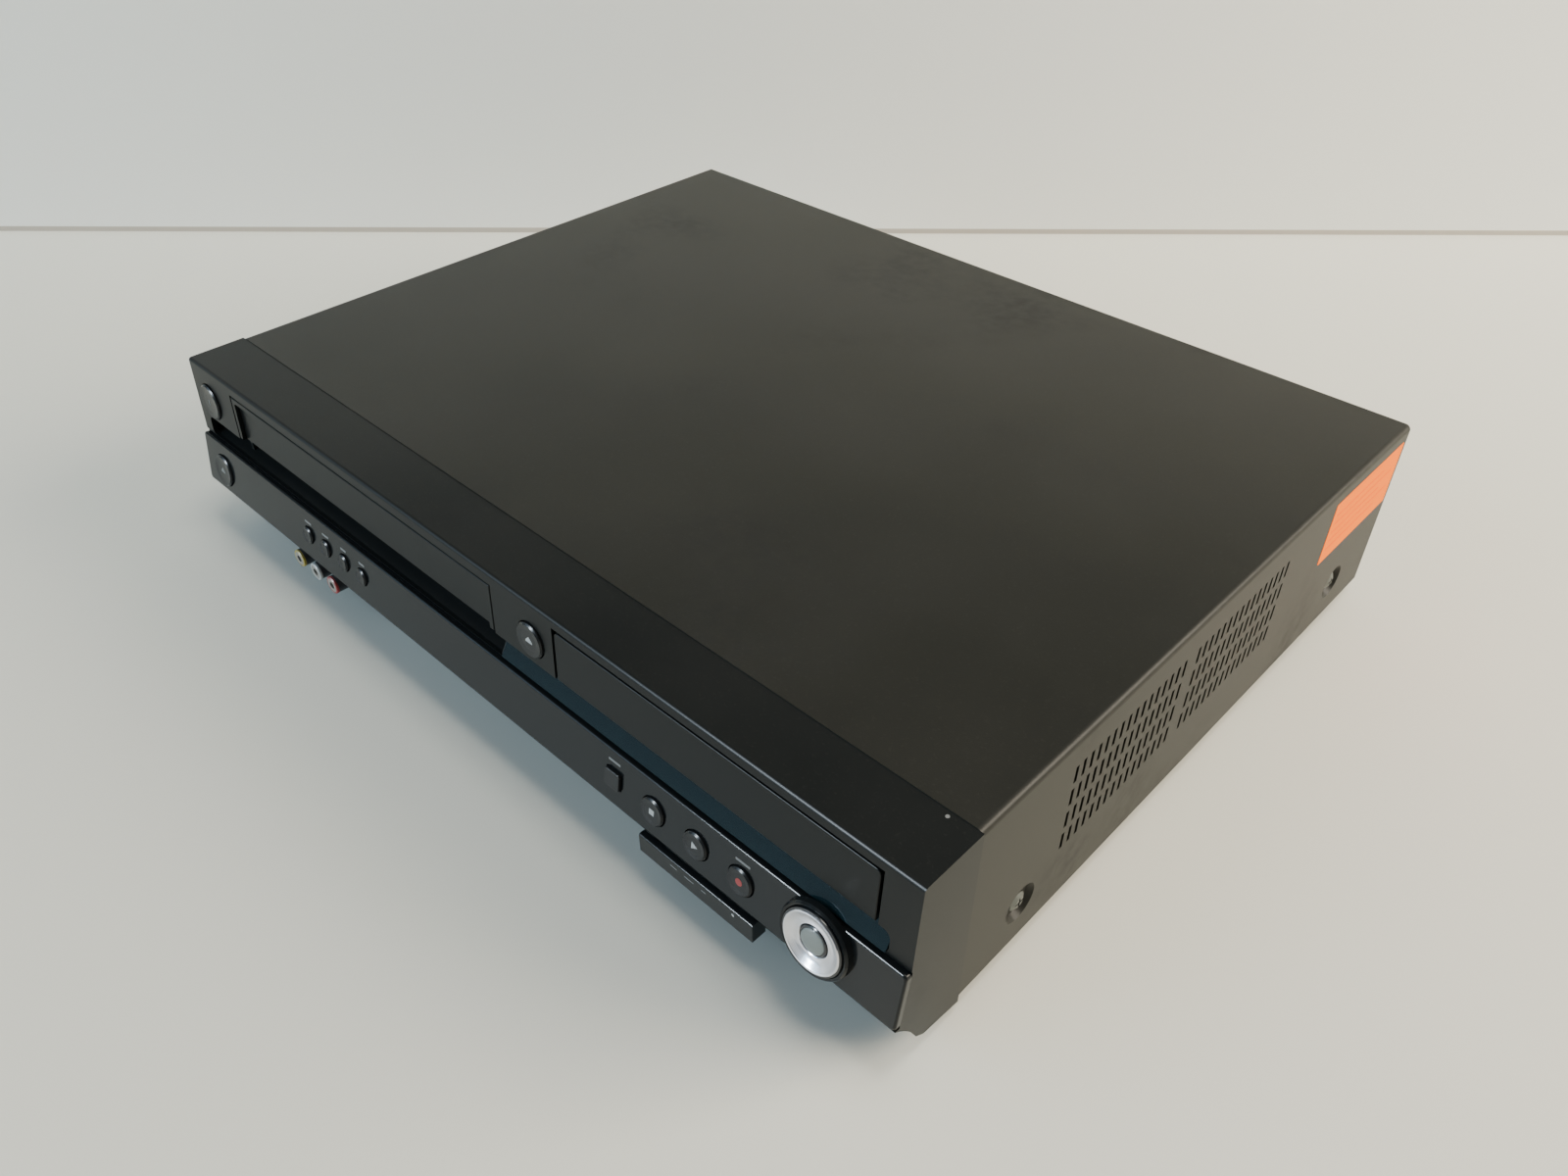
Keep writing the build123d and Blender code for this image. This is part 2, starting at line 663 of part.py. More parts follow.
def make_bottom_chassis():
    """The folded steel tray that carries everything, with flanges, beads and pillars."""
    ear_corner = 4
    screw_z = TOP - DIMPLE_DROP
    front_y = FLAT_GAP
    rear_y = REAR_INNER_Y
    middle_y = (front_y + rear_y) / 2
    floor_span = (-FLANGE_X, FLANGE_X)
    tray = block(floor_span, (front_y, rear_y), (FOOT_HEIGHT, FLOOR_TOP))
    for side in (-1, 1):
        edge = sorted((side * FLANGE_X, side * (FLANGE_X - CHASSIS_SHEET)))
        tray += block(edge, (front_y, rear_y), (FOOT_HEIGHT, FLOOR_TOP + SIDE_FLANGE))
        for y in (DIMPLE_FRONT_Y, DIMPLE_REAR_Y):
            ear = patch((y - DIMPLE_RADIUS, y + DIMPLE_RADIUS), (FLOOR_TOP, screw_z + DIMPLE_RADIUS), ear_corner)
            tray += along_x(ear, edge)
            tray -= rod_x(SCREW_RADIUS, (edge[0] - 1, edge[1] + 1), y, screw_z)
    tray += block(floor_span, (front_y, front_y + CHASSIS_SHEET), (FOOT_HEIGHT, FLOOR_TOP + FRONT_FLANGE))
    tray += block(floor_span, (rear_y - CHASSIS_SHEET, rear_y), (FOOT_HEIGHT, FLOOR_TOP + REAR_FLANGE))
    tray += [bead(x, middle_y, BEAD_WIDTH, BEAD_LENGTH) for x in BEAD_XS]
    slot = extrude(SlotOverall(FLOOR_SLOT_LENGTH, FLOOR_SLOT_WIDTH), CHASSIS_SHEET * 2)
    for x in FLOOR_SLOT_XS:
        for row in range(FLOOR_SLOT_ROWS):
            tray -= Pos(x, FLOOR_SLOT_FIRST_Y + row * FLOOR_SLOT_PITCH, FOOT_HEIGHT) * slot
    for x, y in foot_places():
        tray -= rod(FOOT_PIN_RADIUS + PIN_PLAY, upright(x, y), 0, FLOOR_TOP + 1)
    for x, y in pillar_places():
        tray += rod(PILLAR_RADIUS, upright(x, y), FLOOR_TOP - SINK, BOARD_Z)
    return tray


def foot_places():
    """Where the four feet stand."""
    return [(side * FOOT_X, y) for side in (-1, 1) for y in (FOOT_FRONT_Y, FOOT_REAR_Y)]


def pillar_places():
    """Where the chassis carries the boards."""
    edge = 8
    main_ys = (MAIN_FRONT_Y + 60, MAIN_REAR_Y - 12)
    main = [(x, y) for x in (MAIN_LEFT + edge, MAIN_RIGHT - 40) for y in main_ys]
    strip = [(x, STRIP_FRONT_Y + edge) for x in (STRIP_LEFT + 10, CAPACITOR_ON_STRIP_X, STRIP_RIGHT - 10)]
    power = [(x, POWER_FRONT_Y + edge) for x in (POWER_LEFT + edge, MAIN_RIGHT - edge)]
    return main + strip + power + [(POWER_LEFT + edge, STRIP_REAR_Y - 10)]


def make_feet():
    """Four moulded feet with a pin each that clips into the chassis."""
    hollow, ring_inner, ring_outer, draft, pin_proud = 1.2, 2.2, 0.6, 1.0, 1.2
    profile = [
        (0, hollow), (FOOT_RADIUS - ring_inner - 1, hollow), (FOOT_RADIUS - ring_inner, 0),
        (FOOT_RADIUS - ring_outer, 0), (FOOT_RADIUS, ring_outer + 0.2), (FOOT_RADIUS - draft, FOOT_HEIGHT),
        (FOOT_PIN_RADIUS, FOOT_HEIGHT), (FOOT_PIN_RADIUS, FLOOR_TOP + pin_proud), (0, FLOOR_TOP + pin_proud)]
    return [turned(profile, upright(x, y)) for x, y in foot_places()]


def screw(place):
    """A cross-slot screw whose head's underside lies on the place."""
    shank = SCREW_RADIUS - 0.1
    crown = SCREW_HEAD_RADIUS * 0.55
    head = turned([
        (0, -SCREW_LENGTH), (shank, -SCREW_LENGTH), (shank, 0), (SCREW_HEAD_RADIUS, 0),
        (SCREW_HEAD_RADIUS, SCREW_HEAD_HEIGHT / 2), (crown, SCREW_HEAD_HEIGHT), (0, SCREW_HEAD_HEIGHT)], place)
    span = SCREW_HEAD_RADIUS * 1.1
    for length, width in ((span, CROSS_WIDTH), (CROSS_WIDTH, span)):
        head -= place * Pos(0, 0, SCREW_HEAD_HEIGHT) * Box(length, width, 2 * CROSS_DEPTH)
    return head


def make_cover_screws():
    """Four side screws in their hollows and the screws in the rear panel."""
    floor_x = COVER_HALF - DIMPLE_DEPTH
    screws = []
    for side in (-1, 1):
        for y in (DIMPLE_FRONT_Y, DIMPLE_REAR_Y):
            screws.append(screw(Pos(side * floor_x, y, TOP - DIMPLE_DROP) * Rot(0, 90 * side, 0)))
    screws += [screw(backward(x, REAR_FACE_Y, z)) for x, z in REAR_SCREWS]
    return screws


def make_rear_panel():
    """The steel rear panel, cut out for its sockets and cooling slots."""
    half = INNER_HALF - FLAT_GAP
    sheet = patch((-half, half), (FLOOR_TOP, TOP - COVER_SHEET - FLAT_GAP), COVER_BEND)
    sheet -= [Pos(x, AERIAL_Z) * Circle(AERIAL_RADIUS + AERIAL_COLLAR + FLAT_GAP) for x in AERIAL_XS]
    scart_hole = Rectangle(SCART_WIDTH + 2 * FLAT_GAP, SCART_HEIGHT + 2 * FLAT_GAP)
    sheet -= [Pos(x, SCART_Z) * scart_hole for x in SCART_XS]
    sheet -= [Pos(x, z) * Circle(PHONO_COLLAR + FLAT_GAP) for x in PHONO_XS for z in PHONO_ZS]
    around = 2 * (INLET_WALL + FLAT_GAP)
    sheet -= Pos(INLET_X, INLET_Z) * Rectangle(INLET_WIDTH + around, INLET_HEIGHT + around)
    sheet -= [Pos(x, z) * Circle(SCREW_RADIUS) for x, z in REAR_SCREWS]
    sheet -= [Pos(REAR_VENT_FIRST_X + vent * REAR_VENT_PITCH, REAR_VENT_Z)
              * SlotOverall(REAR_VENT_HEIGHT, REAR_VENT_WIDTH, rotation=90) for vent in range(REAR_VENT_COUNT)]
    return along_y(sheet, (REAR_INNER_Y, REAR_FACE_Y))


# ---------------------------------------------------------------- front moulding
def mould_side(back_y):
    """The moulding's side view as a filled face, reaching back to back_y."""
    foot_slope = (SEAM_FOOT_DROP - TOE_DROP) / TOE_REACH
    rabbet_foot = FASCIA_HEIGHT + FASCIA_SEAT
    start, lip, step, top_seat, foot_seat, chin, middle, chin_foot, toe, back = side_points([
        (back_y, LIP_DROP), (upper_y(LIP_DROP), LIP_DROP), (upper_y(STEP_DROP), STEP_DROP),
        fascia_point(-FASCIA_SEAT, FASCIA_THICK), fascia_point(rabbet_foot, FASCIA_THICK),
        fascia_point(rabbet_foot, CHIN_INSET), (-CHIN_MID_REACH, CHIN_MID_DROP),
        (-CHIN_FOOT_REACH, CHIN_FOOT_DROP), (-TOE_REACH, TOE_DROP),
        (back_y, TOE_DROP + foot_slope * (TOE_REACH + back_y))])
    front = Polyline(start, lip, step, top_seat, foot_seat, chin)
    hollow = ThreePointArc(chin, middle, chin_foot)
    under = Polyline(chin_foot, toe, back, start)
    face = make_face(Curve() + [front, hollow, under])
    face = fillet(face.vertices().sort_by_distance((lip[0], lip[1], 0))[0], LIP_RADIUS)
    return fillet(face.vertices().sort_by_distance((toe[0], toe[1], 0))[0], LIP_RADIUS)


def mould_rib(inner, x):
    """An upright rib inside the moulding, from the upper face back to the ribs' rear edge."""
    reach = patch((-FASCIA_REACH, RIB_BACK_Y), (TOP - FASCIA_DROP, TOP))
    return along_x(inner & reach, (x, x + RIB_WALL))


def window_line(depth):
    """Top and bottom of the display window's front, or of a surface behind it, as (y, drop)."""
    run = WINDOW_BOTTOM_REACH - WINDOW_TOP_REACH
    fall = WINDOW_BOTTOM_DROP - WINDOW_TOP_DROP
    length = hypot(run, fall)
    back = (depth * fall / length, depth * run / length)
    return [(-WINDOW_TOP_REACH + back[0], WINDOW_TOP_DROP + back[1]),
            (-WINDOW_BOTTOM_REACH + back[0], WINDOW_BOTTOM_DROP + back[1])]


def window_slab(front, back, longer=0.0):
    """Side view of a slab parallel to the display window between two depths."""
    slab = outline(side_points(window_line(front) + window_line(back)[::-1]))
    return offset(slab, longer, kind=Kind.INTERSECTION) if longer else slab


def mould_pocket(mould_outer, left, right):
    """A pocket in the chin, as the block that lines it and the hollow cut into that block."""
    lining = block((left - POCKET_WALL, right + POCKET_WALL), (-FRONT_REACH, POCKET_FLOOR_Y + POCKET_WALL),
                   (TOP - POCKET_FOOT_DROP - POCKET_WALL, TOP - POCKET_TOP_DROP + POCKET_WALL))
    hollow = block((left, right), (-FRONT_REACH, POCKET_FLOOR_Y),
                   (TOP - POCKET_FOOT_DROP, TOP - POCKET_TOP_DROP))
    return lining & mould_outer, hollow


def flap_lug(x):
    """A lug that stands out of the chin and holds one pin of the flap."""
    z = TOP - FLAP_PIVOT_DROP
    arm = patch((FLAP_PIVOT_Y, POCKET_FLOOR_Y + 1), (z - FLAP_LUG_RADIUS, z + FLAP_LUG_RADIUS))
    eye = Pos(FLAP_PIVOT_Y, z) * Circle(FLAP_LUG_RADIUS)
    hole = Pos(FLAP_PIVOT_Y, z) * Circle(FLAP_PIN_RADIUS + PIN_PLAY)
    return along_x(arm + eye - hole, (x, x + FLAP_LUG_WIDTH))


def key_windows():
    """Openings in the moulding behind the lower fascia's keys, as X spans."""
    edge = KEY_FLANGE + KEY_GAP + 1.0
    return [
        (EJECT_X - EJECT_RADIUS - edge, EJECT_X + EJECT_RADIUS + edge),
        (PRESET_XS[0] - PRESET_RADIUS - edge, PRESET_XS[-1] + PRESET_RADIUS + edge),
        (SQUARE_X - SQUARE_SIZE / 2 - edge, RECORD_X + TRANSPORT_RADIUS + edge)]


def board_pillars():
    """Pillars between the moulding and the front board, in the gaps between the key windows."""
    drop = FASCIA_DROP + FASCIA_HEIGHT / 2
    spans = key_windows() + [(DIAL_X - DIAL_HOLE, DIAL_X + DIAL_HOLE)]
    middles = [(left[1] + right[0]) / 2 for left, right in zip(spans, spans[1:])]
    return [rod(PILLAR_PIN_RADIUS, on_fascia(x, drop), -BOARD_DEPTH, -FASCIA_THICK - SINK) for x in middles]


def make_front_moulding():
    """The hollow front moulding with its openings, groove, sill, ribs and pockets."""
    inner_side = offset(mould_side(MOULD_WALL + 2), -MOULD_WALL, kind=Kind.INTERSECTION)
    outer = along_x(mould_side(0), (-HALF, HALF))
    mould = outer - along_x(inner_side, (-HALF + MOULD_WALL, HALF - MOULD_WALL))

    door_span = (DOOR_LEFT - DOOR_GAP, DOOR_RIGHT + DOOR_GAP)
    tray_span = (DRIVE_X - FASCIA_SIDE - TRAY_GAP, DRIVE_X + FASCIA_SIDE + TRAY_GAP)
    for x in (door_span[0] - RIB_WALL, door_span[1], tray_span[0] - RIB_WALL, tray_span[1]):
        mould += mould_rib(inner_side, x)

    band = patch((BAND_LEFT, BAND_RIGHT), (TOP - BAND_BOTTOM_DROP, TOP - BAND_TOP_DROP), BAND_CORNER)
    mould -= along_y(band, (-FASCIA_REACH, -UPPER_REACH + MOULD_WALL + 1))
    mould -= block(door_span, (-FASCIA_REACH, SILL_BACK_Y), (TOP - SILL_DROP, TOP - DOOR_TOP_DROP + DOOR_GAP))
    mould -= block(tray_span, (-FASCIA_REACH, SILL_BACK_Y),
                   (TOP - BAND_TOP_DROP - 1, TOP - TRAY_FACE_TOP + TRAY_GAP))

    rabbet_y = fascia_y(FASCIA_DROP, FASCIA_THICK)
    sill = outline(side_points([
        (rabbet_y + FASCIA_SEAT, FASCIA_DROP - FASCIA_SEAT), (rabbet_y + SILL_RAMP, SILL_DROP),
        (SILL_BACK_Y, SILL_DROP), (SILL_BACK_Y, SILL_DROP + SILL_WALL),
        (rabbet_y + SILL_RAMP, SILL_DROP + SILL_WALL), (rabbet_y + 2, FASCIA_DROP + 2)]))
    mould += along_x(sill, (BAND_LEFT - 1, door_span[1] + 1))
    stub_y = RIB_BACK_Y - STUB_DEPTH
    mould += block((-HALF + MOULD_WALL - SINK, door_span[0] - SINK), (stub_y, stub_y + SILL_WALL),
                   (TOP - SILL_DROP - 1, TOP - BAND_TOP_DROP + 1))

    back_wall = along_x(window_slab(WINDOW_THICK + 0.1, WINDOW_THICK + WINDOW_BACK_WALL),
                        (door_span[1] + 1, HALF - MOULD_WALL + SINK))
    tube_middle = window_slab(WINDOW_THICK - 1, WINDOW_THICK + WINDOW_BACK_WALL + 1).center()
    tube_hole = Pos((TUBE_LEFT + TUBE_RIGHT) / 2, tube_middle.X, tube_middle.Y) * Rot(window_angle(), 0, 0)
    mould += back_wall - tube_hole * Box(
        TUBE_RIGHT - TUBE_LEFT + 2 * FLAT_GAP, TUBE_HEIGHT + 2 * FLAT_GAP, 4 * WINDOW_BACK_WALL)
    mould -= along_x(window_slab(0, WINDOW_THICK, 0.1), (WINDOW_LEFT - 0.1, WINDOW_RIGHT + 0.1))

    window_span, window_corner = (-FASCIA_HEIGHT + 1.2, -2.2), 1.5
    for span in key_windows():
        window = patch(span, window_span, window_corner)
        mould -= extrude(FASCIA_PLANE.offset(-FASCIA_THICK - MOULD_WALL - 1) * window, MOULD_WALL + 1 + SINK)
    mould -= rod(DIAL_HOLE + FLAT_GAP, on_fascia(DIAL_X, DIAL_DROP), -FASCIA_THICK - MOULD_WALL - 1, 0)
    mould += board_pillars()

    mould -= rod(POWER_RADIUS + KEY_GAP, on_upper(POWER_X, POWER_DROP), -2 * MOULD_WALL, 1)
    mould -= rod(DISC_KEY_RADIUS + KEY_GAP, on_upper(DISC_KEY_X, DISC_KEY_DROP), -2 * MOULD_WALL, 1)
    for x in (POWER_X, DISC_KEY_X):
        for side in (-1, 1):
            post = on_upper(x + side * POST_SPREAD, POST_DROP)
            mould += rod(POST_RADIUS, post, -BOARD_DEPTH, -MOULD_WALL + SINK)

    for left, right in ((JACK_POCKET_LEFT, JACK_POCKET_RIGHT), flap_pocket()):
        lining, hollow = mould_pocket(outer, left, right)
        mould = mould + lining - hollow - block((left, right), *carrier_span(FLAT_GAP))
    holes = [(x, JACK_RADIUS + JACK_STEP + FLAT_GAP) for x in JACK_XS] + [(DIN_X, DIN_RADIUS + FLAT_GAP)]
    holes += [(x, DIN_RADIUS + FLAT_GAP) for x in flap_socket_xs()]
    for x, radius in holes:
        mould -= rod_y(radius, x, (POCKET_FLOOR_Y - 1, POCKET_FLOOR_Y + POCKET_WALL + 1), TOP - JACK_DROP)
    mould += [flap_lug(x) for x in flap_lug_xs()]

    pivot_y, pivot_z = door_pivot()
    mould -= rod_x(DOOR_PIN_RADIUS + PIN_PLAY, (door_span[0] - RIB_WALL - 1, door_span[1] + RIB_WALL + 1),
                   pivot_y, pivot_z)

    tongue_top = TOP - COVER_SHEET - FLAT_GAP
    for x in (-TONGUE_X, 0, TONGUE_X):
        mould += block((x - TONGUE_WIDTH / 2, x + TONGUE_WIDTH / 2), (-MOULD_WALL, TONGUE_REACH),
                       (tongue_top - TONGUE_THICK, tongue_top))
    return mould


def window_angle():
    """How far the display window leans, turned so that its axis points out of its face."""
    run = WINDOW_BOTTOM_REACH - WINDOW_TOP_REACH
    fall = WINDOW_BOTTOM_DROP - WINDOW_TOP_DROP
    return 90 - degrees(atan2(run, fall))


def flap_pocket():
    """The X span of the pocket behind the flap."""
    inset = FLAP_WALL + FLAP_LUG_GAP + FLAP_LUG_WIDTH + 0.6
    return FLAP_LEFT + inset, FLAP_RIGHT - inset


def flap_lug_xs():
    """Where the two lugs of the flap start along X."""
    inset = FLAP_WALL + FLAP_LUG_GAP
    return FLAP_LEFT + inset, FLAP_RIGHT - inset - FLAP_LUG_WIDTH


def flap_socket_xs():
    """Middles of the two round sockets behind the flap."""
    middle = (FLAP_LEFT + FLAP_RIGHT) / 2
    return middle - FLAP_SOCKET_SPREAD, middle + FLAP_SOCKET_SPREAD


def door_pivot():
    """Y and Z of the cassette door's hinge line."""
    drop = DOOR_TOP_DROP + DOOR_PIVOT_INSET
    return upper_y(drop, DOOR_PIVOT_DEPTH), TOP - drop


def make_lower_fascia():
    """The separate glossy panel with the transport keys' holes."""
    plate = extrude(FASCIA_PLANE * patch((-HALF, HALF), (-FASCIA_HEIGHT, 0), FASCIA_CORNER), -FASCIA_THICK)
    front = plate.faces().sort_by(Axis((0, 0, 0), tuple(FASCIA_PLANE.z_dir)))[-1]
    plate = fillet(front.outer_wire().edges(), FASCIA_EDGE)
    rounds = [(EJECT_X, EJECT_DROP, EJECT_RADIUS + KEY_GAP), (DIAL_X, DIAL_DROP, DIAL_HOLE)]
    rounds += [(x, PRESET_DROP, PRESET_RADIUS + KEY_GAP) for x in PRESET_XS]
    rounds += [(x, TRANSPORT_DROP, TRANSPORT_RADIUS + KEY_GAP) for x in (STOP_X, PLAY_X, RECORD_X)]
    for x, drop, radius in rounds:
        plate -= rod(radius, on_fascia(x, drop), -2 * FASCIA_THICK, 1)
    hole = SQUARE_SIZE + 2 * KEY_GAP
    plate -= on_fascia(SQUARE_X, SQUARE_DROP) * Pos(0, 0, -FASCIA_THICK / 2) * extrude(
        RectangleRounded(hole, hole, SQUARE_CORNER + KEY_GAP - 0.15), 2 * FASCIA_THICK, both=True)
    return plate


def make_display_window():
    """The smoked window that slopes back in the groove."""
    slab = along_x(window_slab(0, WINDOW_THICK), (WINDOW_LEFT, WINDOW_RIGHT))
    corner = slab.edges().filter_by(GeomType.LINE).sort_by(Axis.X)[-4:]
    slope = [edge for edge in corner if edge.length < 2 * WINDOW_THICK]
    return fillet(slope, 0.6)


# ---------------------------------------------------------------- keys and front board
def key_points(radius, wall):
    """A round key's turned profile: dished cap, flange behind the wall, stem to its switch."""
    stop = -wall - KEY_PLAY
    return [
        (0, KEY_PROUD - KEY_HOLLOW), (radius * 0.6, KEY_PROUD - KEY_HOLLOW * 0.7), (radius - KEY_EDGE, KEY_PROUD),
        (radius, KEY_PROUD - KEY_EDGE), (radius, stop), (radius + KEY_FLANGE, stop),
        (radius + KEY_FLANGE, stop - KEY_FLANGE_THICK), (KEY_STEM_RADIUS, stop - KEY_FLANGE_THICK),
        (KEY_STEM_RADIUS, KEY_TIP), (0, KEY_TIP)]


def make_round_key(place, radius, wall):
    """One round push key."""
    return turned(key_points(radius, wall), place)


def make_square_key():
    """The small square push key."""
    place = on_fascia(SQUARE_X, SQUARE_DROP)
    stop = -FASCIA_THICK - KEY_PLAY
    cap = extrude(Plane.XY.offset(stop) * RectangleRounded(SQUARE_SIZE, SQUARE_SIZE, SQUARE_CORNER), KEY_PROUD - stop)
    cap = fillet(cap.faces().sort_by(Axis.Z)[-1].edges(), KEY_EDGE * 0.6)
    flange_size = SQUARE_SIZE + 2 * KEY_FLANGE
    flange = Plane.XY.offset(stop - KEY_FLANGE_THICK) * Rectangle(flange_size, flange_size)
    cap += extrude(flange, KEY_FLANGE_THICK)
    cap += rod(KEY_STEM_RADIUS, Pos(0, 0, 0), KEY_TIP, stop)
    return place * cap


def fascia_key_places():
    """X and drop of every key on the lower fascia."""
    places = [(EJECT_X, EJECT_DROP), (SQUARE_X, SQUARE_DROP)]
    places += [(x, PRESET_DROP) for x in PRESET_XS]
    return places + [(x, TRANSPORT_DROP) for x in (STOP_X, PLAY_X, RECORD_X)]


def make_front_board():
    """The long key board, two small ones, their switches and the display tube."""
    half = HALF - MOULD_WALL - 4
    plan = patch((-half, half), (-FASCIA_HEIGHT + 1, -2.4))
    pieces = [extrude(FASCIA_PLANE.offset(-BOARD_DEPTH) * plan, -BOARD_THICK)]
    body = Box(SWITCH_SIZE, SWITCH_SIZE, SWITCH_HEIGHT - 1)
    pin = Cylinder(SWITCH_PIN_RADIUS, SWITCH_HEIGHT)
    for x, drop in fascia_key_places() + [(DIAL_X, DIAL_DROP)]:
        pieces.append(switch_at(on_fascia(x, drop), body, pin))
    small_board = Pos(0, SMALL_BOARD_RISE, -BOARD_DEPTH - BOARD_THICK / 2) * Box(SMALL_BOARD, SMALL_BOARD, BOARD_THICK)
    for x, drop in ((POWER_X, POWER_DROP), (DISC_KEY_X, DISC_KEY_DROP)):
        place = on_upper(x, drop)
        pieces.append(place * small_board)
        pieces.append(switch_at(place, body, pin))
    tube = along_x(window_tube_side(), (TUBE_LEFT, TUBE_RIGHT))
    return pieces + [tube]


def switch_at(place, body, pin):
    """A push switch on the board behind a key."""
    foot = -BOARD_DEPTH
    return (place * Pos(0, 0, foot + (SWITCH_HEIGHT - 1) / 2) * body
            + place * Pos(0, 0, foot + SWITCH_HEIGHT / 2) * pin)


def window_tube_side():
    """Side view of the display tube, which sits in the hole behind the window."""
    top, foot = window_line(WINDOW_THICK + 0.3)
    middle = ((top[0] + foot[0]) / 2, TOP - (top[1] + foot[1]) / 2)
    lean = 90 - window_angle()
    return Pos(*middle) * Rot(0, 0, -lean) * Pos(TUBE_THICK / 2, 0) * Rectangle(TUBE_THICK, TUBE_HEIGHT)


# ---------------------------------------------------------------- cassette door
def make_cassette_door():
    """The swinging cassette door with its raised border and two hinge pins."""
    corner, field_corner, edge = 0.8, 1.2, 0.5
    high = -(DOOR_TOP_DROP - UPPER_TOP_DROP) / cos(TILT_UPPER)
    low = -(DOOR_BOTTOM_DROP - UPPER_TOP_DROP) / cos(TILT_UPPER)
    door = extrude(UPPER_PLANE * patch((DOOR_LEFT, DOOR_RIGHT), (low, high), corner), -DOOR_THICK)
    field_span = (DOOR_LEFT + DOOR_BORDER_SIDE, DOOR_RIGHT - DOOR_BORDER_SIDE)
    field = patch(field_span, (low - 2, high - DOOR_BORDER_TOP), field_corner)
    door -= extrude(UPPER_PLANE * field, -(DOOR_THICK - DOOR_FIELD_THICK))
    front_top = (0, upper_y(DOOR_TOP_DROP), TOP - DOOR_TOP_DROP)
    door = fillet(door.edges().filter_by(Axis.X).sort_by_distance(front_top)[0], edge)
    pivot_y, pivot_z = door_pivot()
    door += rod_x(DOOR_PIN_RADIUS, (DOOR_LEFT - DOOR_PIN_LENGTH, DOOR_LEFT + 1), pivot_y, pivot_z)
    door += rod_x(DOOR_PIN_RADIUS, (DOOR_RIGHT - 1, DOOR_RIGHT + DOOR_PIN_LENGTH), pivot_y, pivot_z)
    return door


# ---------------------------------------------------------------- dial
def make_dial_bezel():
    """The black ring in which the dial sits, with its skirt through the fascia."""
    place = on_fascia(DIAL_X, DIAL_DROP)
    well = RING_RADIUS + RING_GAP
    skirt = DIAL_HOLE - PIN_PLAY
    bezel = turned([
        (skirt - SKIRT_WALL, -DIAL_SKIRT), (skirt, -DIAL_SKIRT), (skirt, 0), (BEZEL_RADIUS, 0),
        (BEZEL_RADIUS - 0.2, BEZEL_HEIGHT - 0.8), (BEZEL_RADIUS - 0.8, BEZEL_HEIGHT), (well, BEZEL_HEIGHT - 0.2),
        (well, BEZEL_FLOOR), (skirt - SKIRT_WALL, BEZEL_FLOOR)], place)
    hole = Cylinder(RING_PIN_RADIUS + PIN_PLAY, 2 * (DIAL_HOLE - RING_GAP))
    return bezel - place * Pos(0, 0, -RING_PIN_DEPTH) * Rot(90, 0, 0) * hole


def make_dial_ring():
    """The dished metal ring that rocks left and right on two pins."""
    place = on_fascia(DIAL_X, DIAL_DROP)
    inner = RING_STEM_RADIUS - RING_STEM_WALL
    ring = turned([
        (RING_HOLE, RING_BOTTOM), (inner, RING_BOTTOM - 0.1), (inner, -RING_STEM_LENGTH),
        (RING_STEM_RADIUS, -RING_STEM_LENGTH), (RING_STEM_RADIUS, RING_BOTTOM), (RING_RADIUS, RING_BOTTOM),
        (RING_RADIUS, RING_TOP - 0.6), (RING_RADIUS - 0.4, RING_TOP), (RING_RADIUS - 1.3, RING_TOP),
        (RING_HOLE, RING_TOP - RING_DISH)], place)
    pins = Cylinder(RING_PIN_RADIUS, 2 * (DIAL_HOLE - PIN_PLAY - 0.4))
    pins -= Cylinder(RING_PIN_RADIUS + 1, 2 * inner + 0.4)
    return ring + place * Pos(0, 0, -RING_PIN_DEPTH) * Rot(90, 0, 0) * pins


def make_dial_centre():
    """The push key in the middle of the dial."""
    inner = RING_STEM_RADIUS - RING_STEM_WALL - 0.4
    top = RING_BOTTOM - 0.1 - KEY_PLAY - FLAT_GAP
    return turned([
        (0, CENTRE_TOP), (CENTRE_RADIUS * 0.6, CENTRE_TOP - 0.15), (CENTRE_RADIUS - 0.6, CENTRE_TOP - 0.5),
        (CENTRE_RADIUS, CENTRE_TOP - 1.0), (CENTRE_RADIUS, top), (inner, top), (inner, top - 1.0),
        (KEY_STEM_RADIUS, top - 1.0), (KEY_STEM_RADIUS, KEY_TIP), (0, KEY_TIP)], on_fascia(DIAL_X, DIAL_DROP))


# ---------------------------------------------------------------- front sockets and flap
def carrier_span(play=0.0):
    """Y and Z spans of the blocks behind the chin's sockets."""
    half = JACK_BODY_HEIGHT / 2 + play
    return (JACK_PLATE_Y, JACK_PLATE_Y + JACK_BODY_DEPTH + play), (JACK_Z - half, JACK_Z + half)


def jack(place, reach, shoulder):
    """A phono socket's bored barrel, thicker up to its shoulder."""
    edge = 0.3
    root = 0.5
    return turned([
        (JACK_BORE, reach), (JACK_RADIUS - edge, reach), (JACK_RADIUS, reach - edge), (JACK_RADIUS, shoulder),
        (JACK_RADIUS + JACK_STEP, shoulder), (JACK_RADIUS + JACK_STEP, -root), (JACK_BORE, -root)], place)


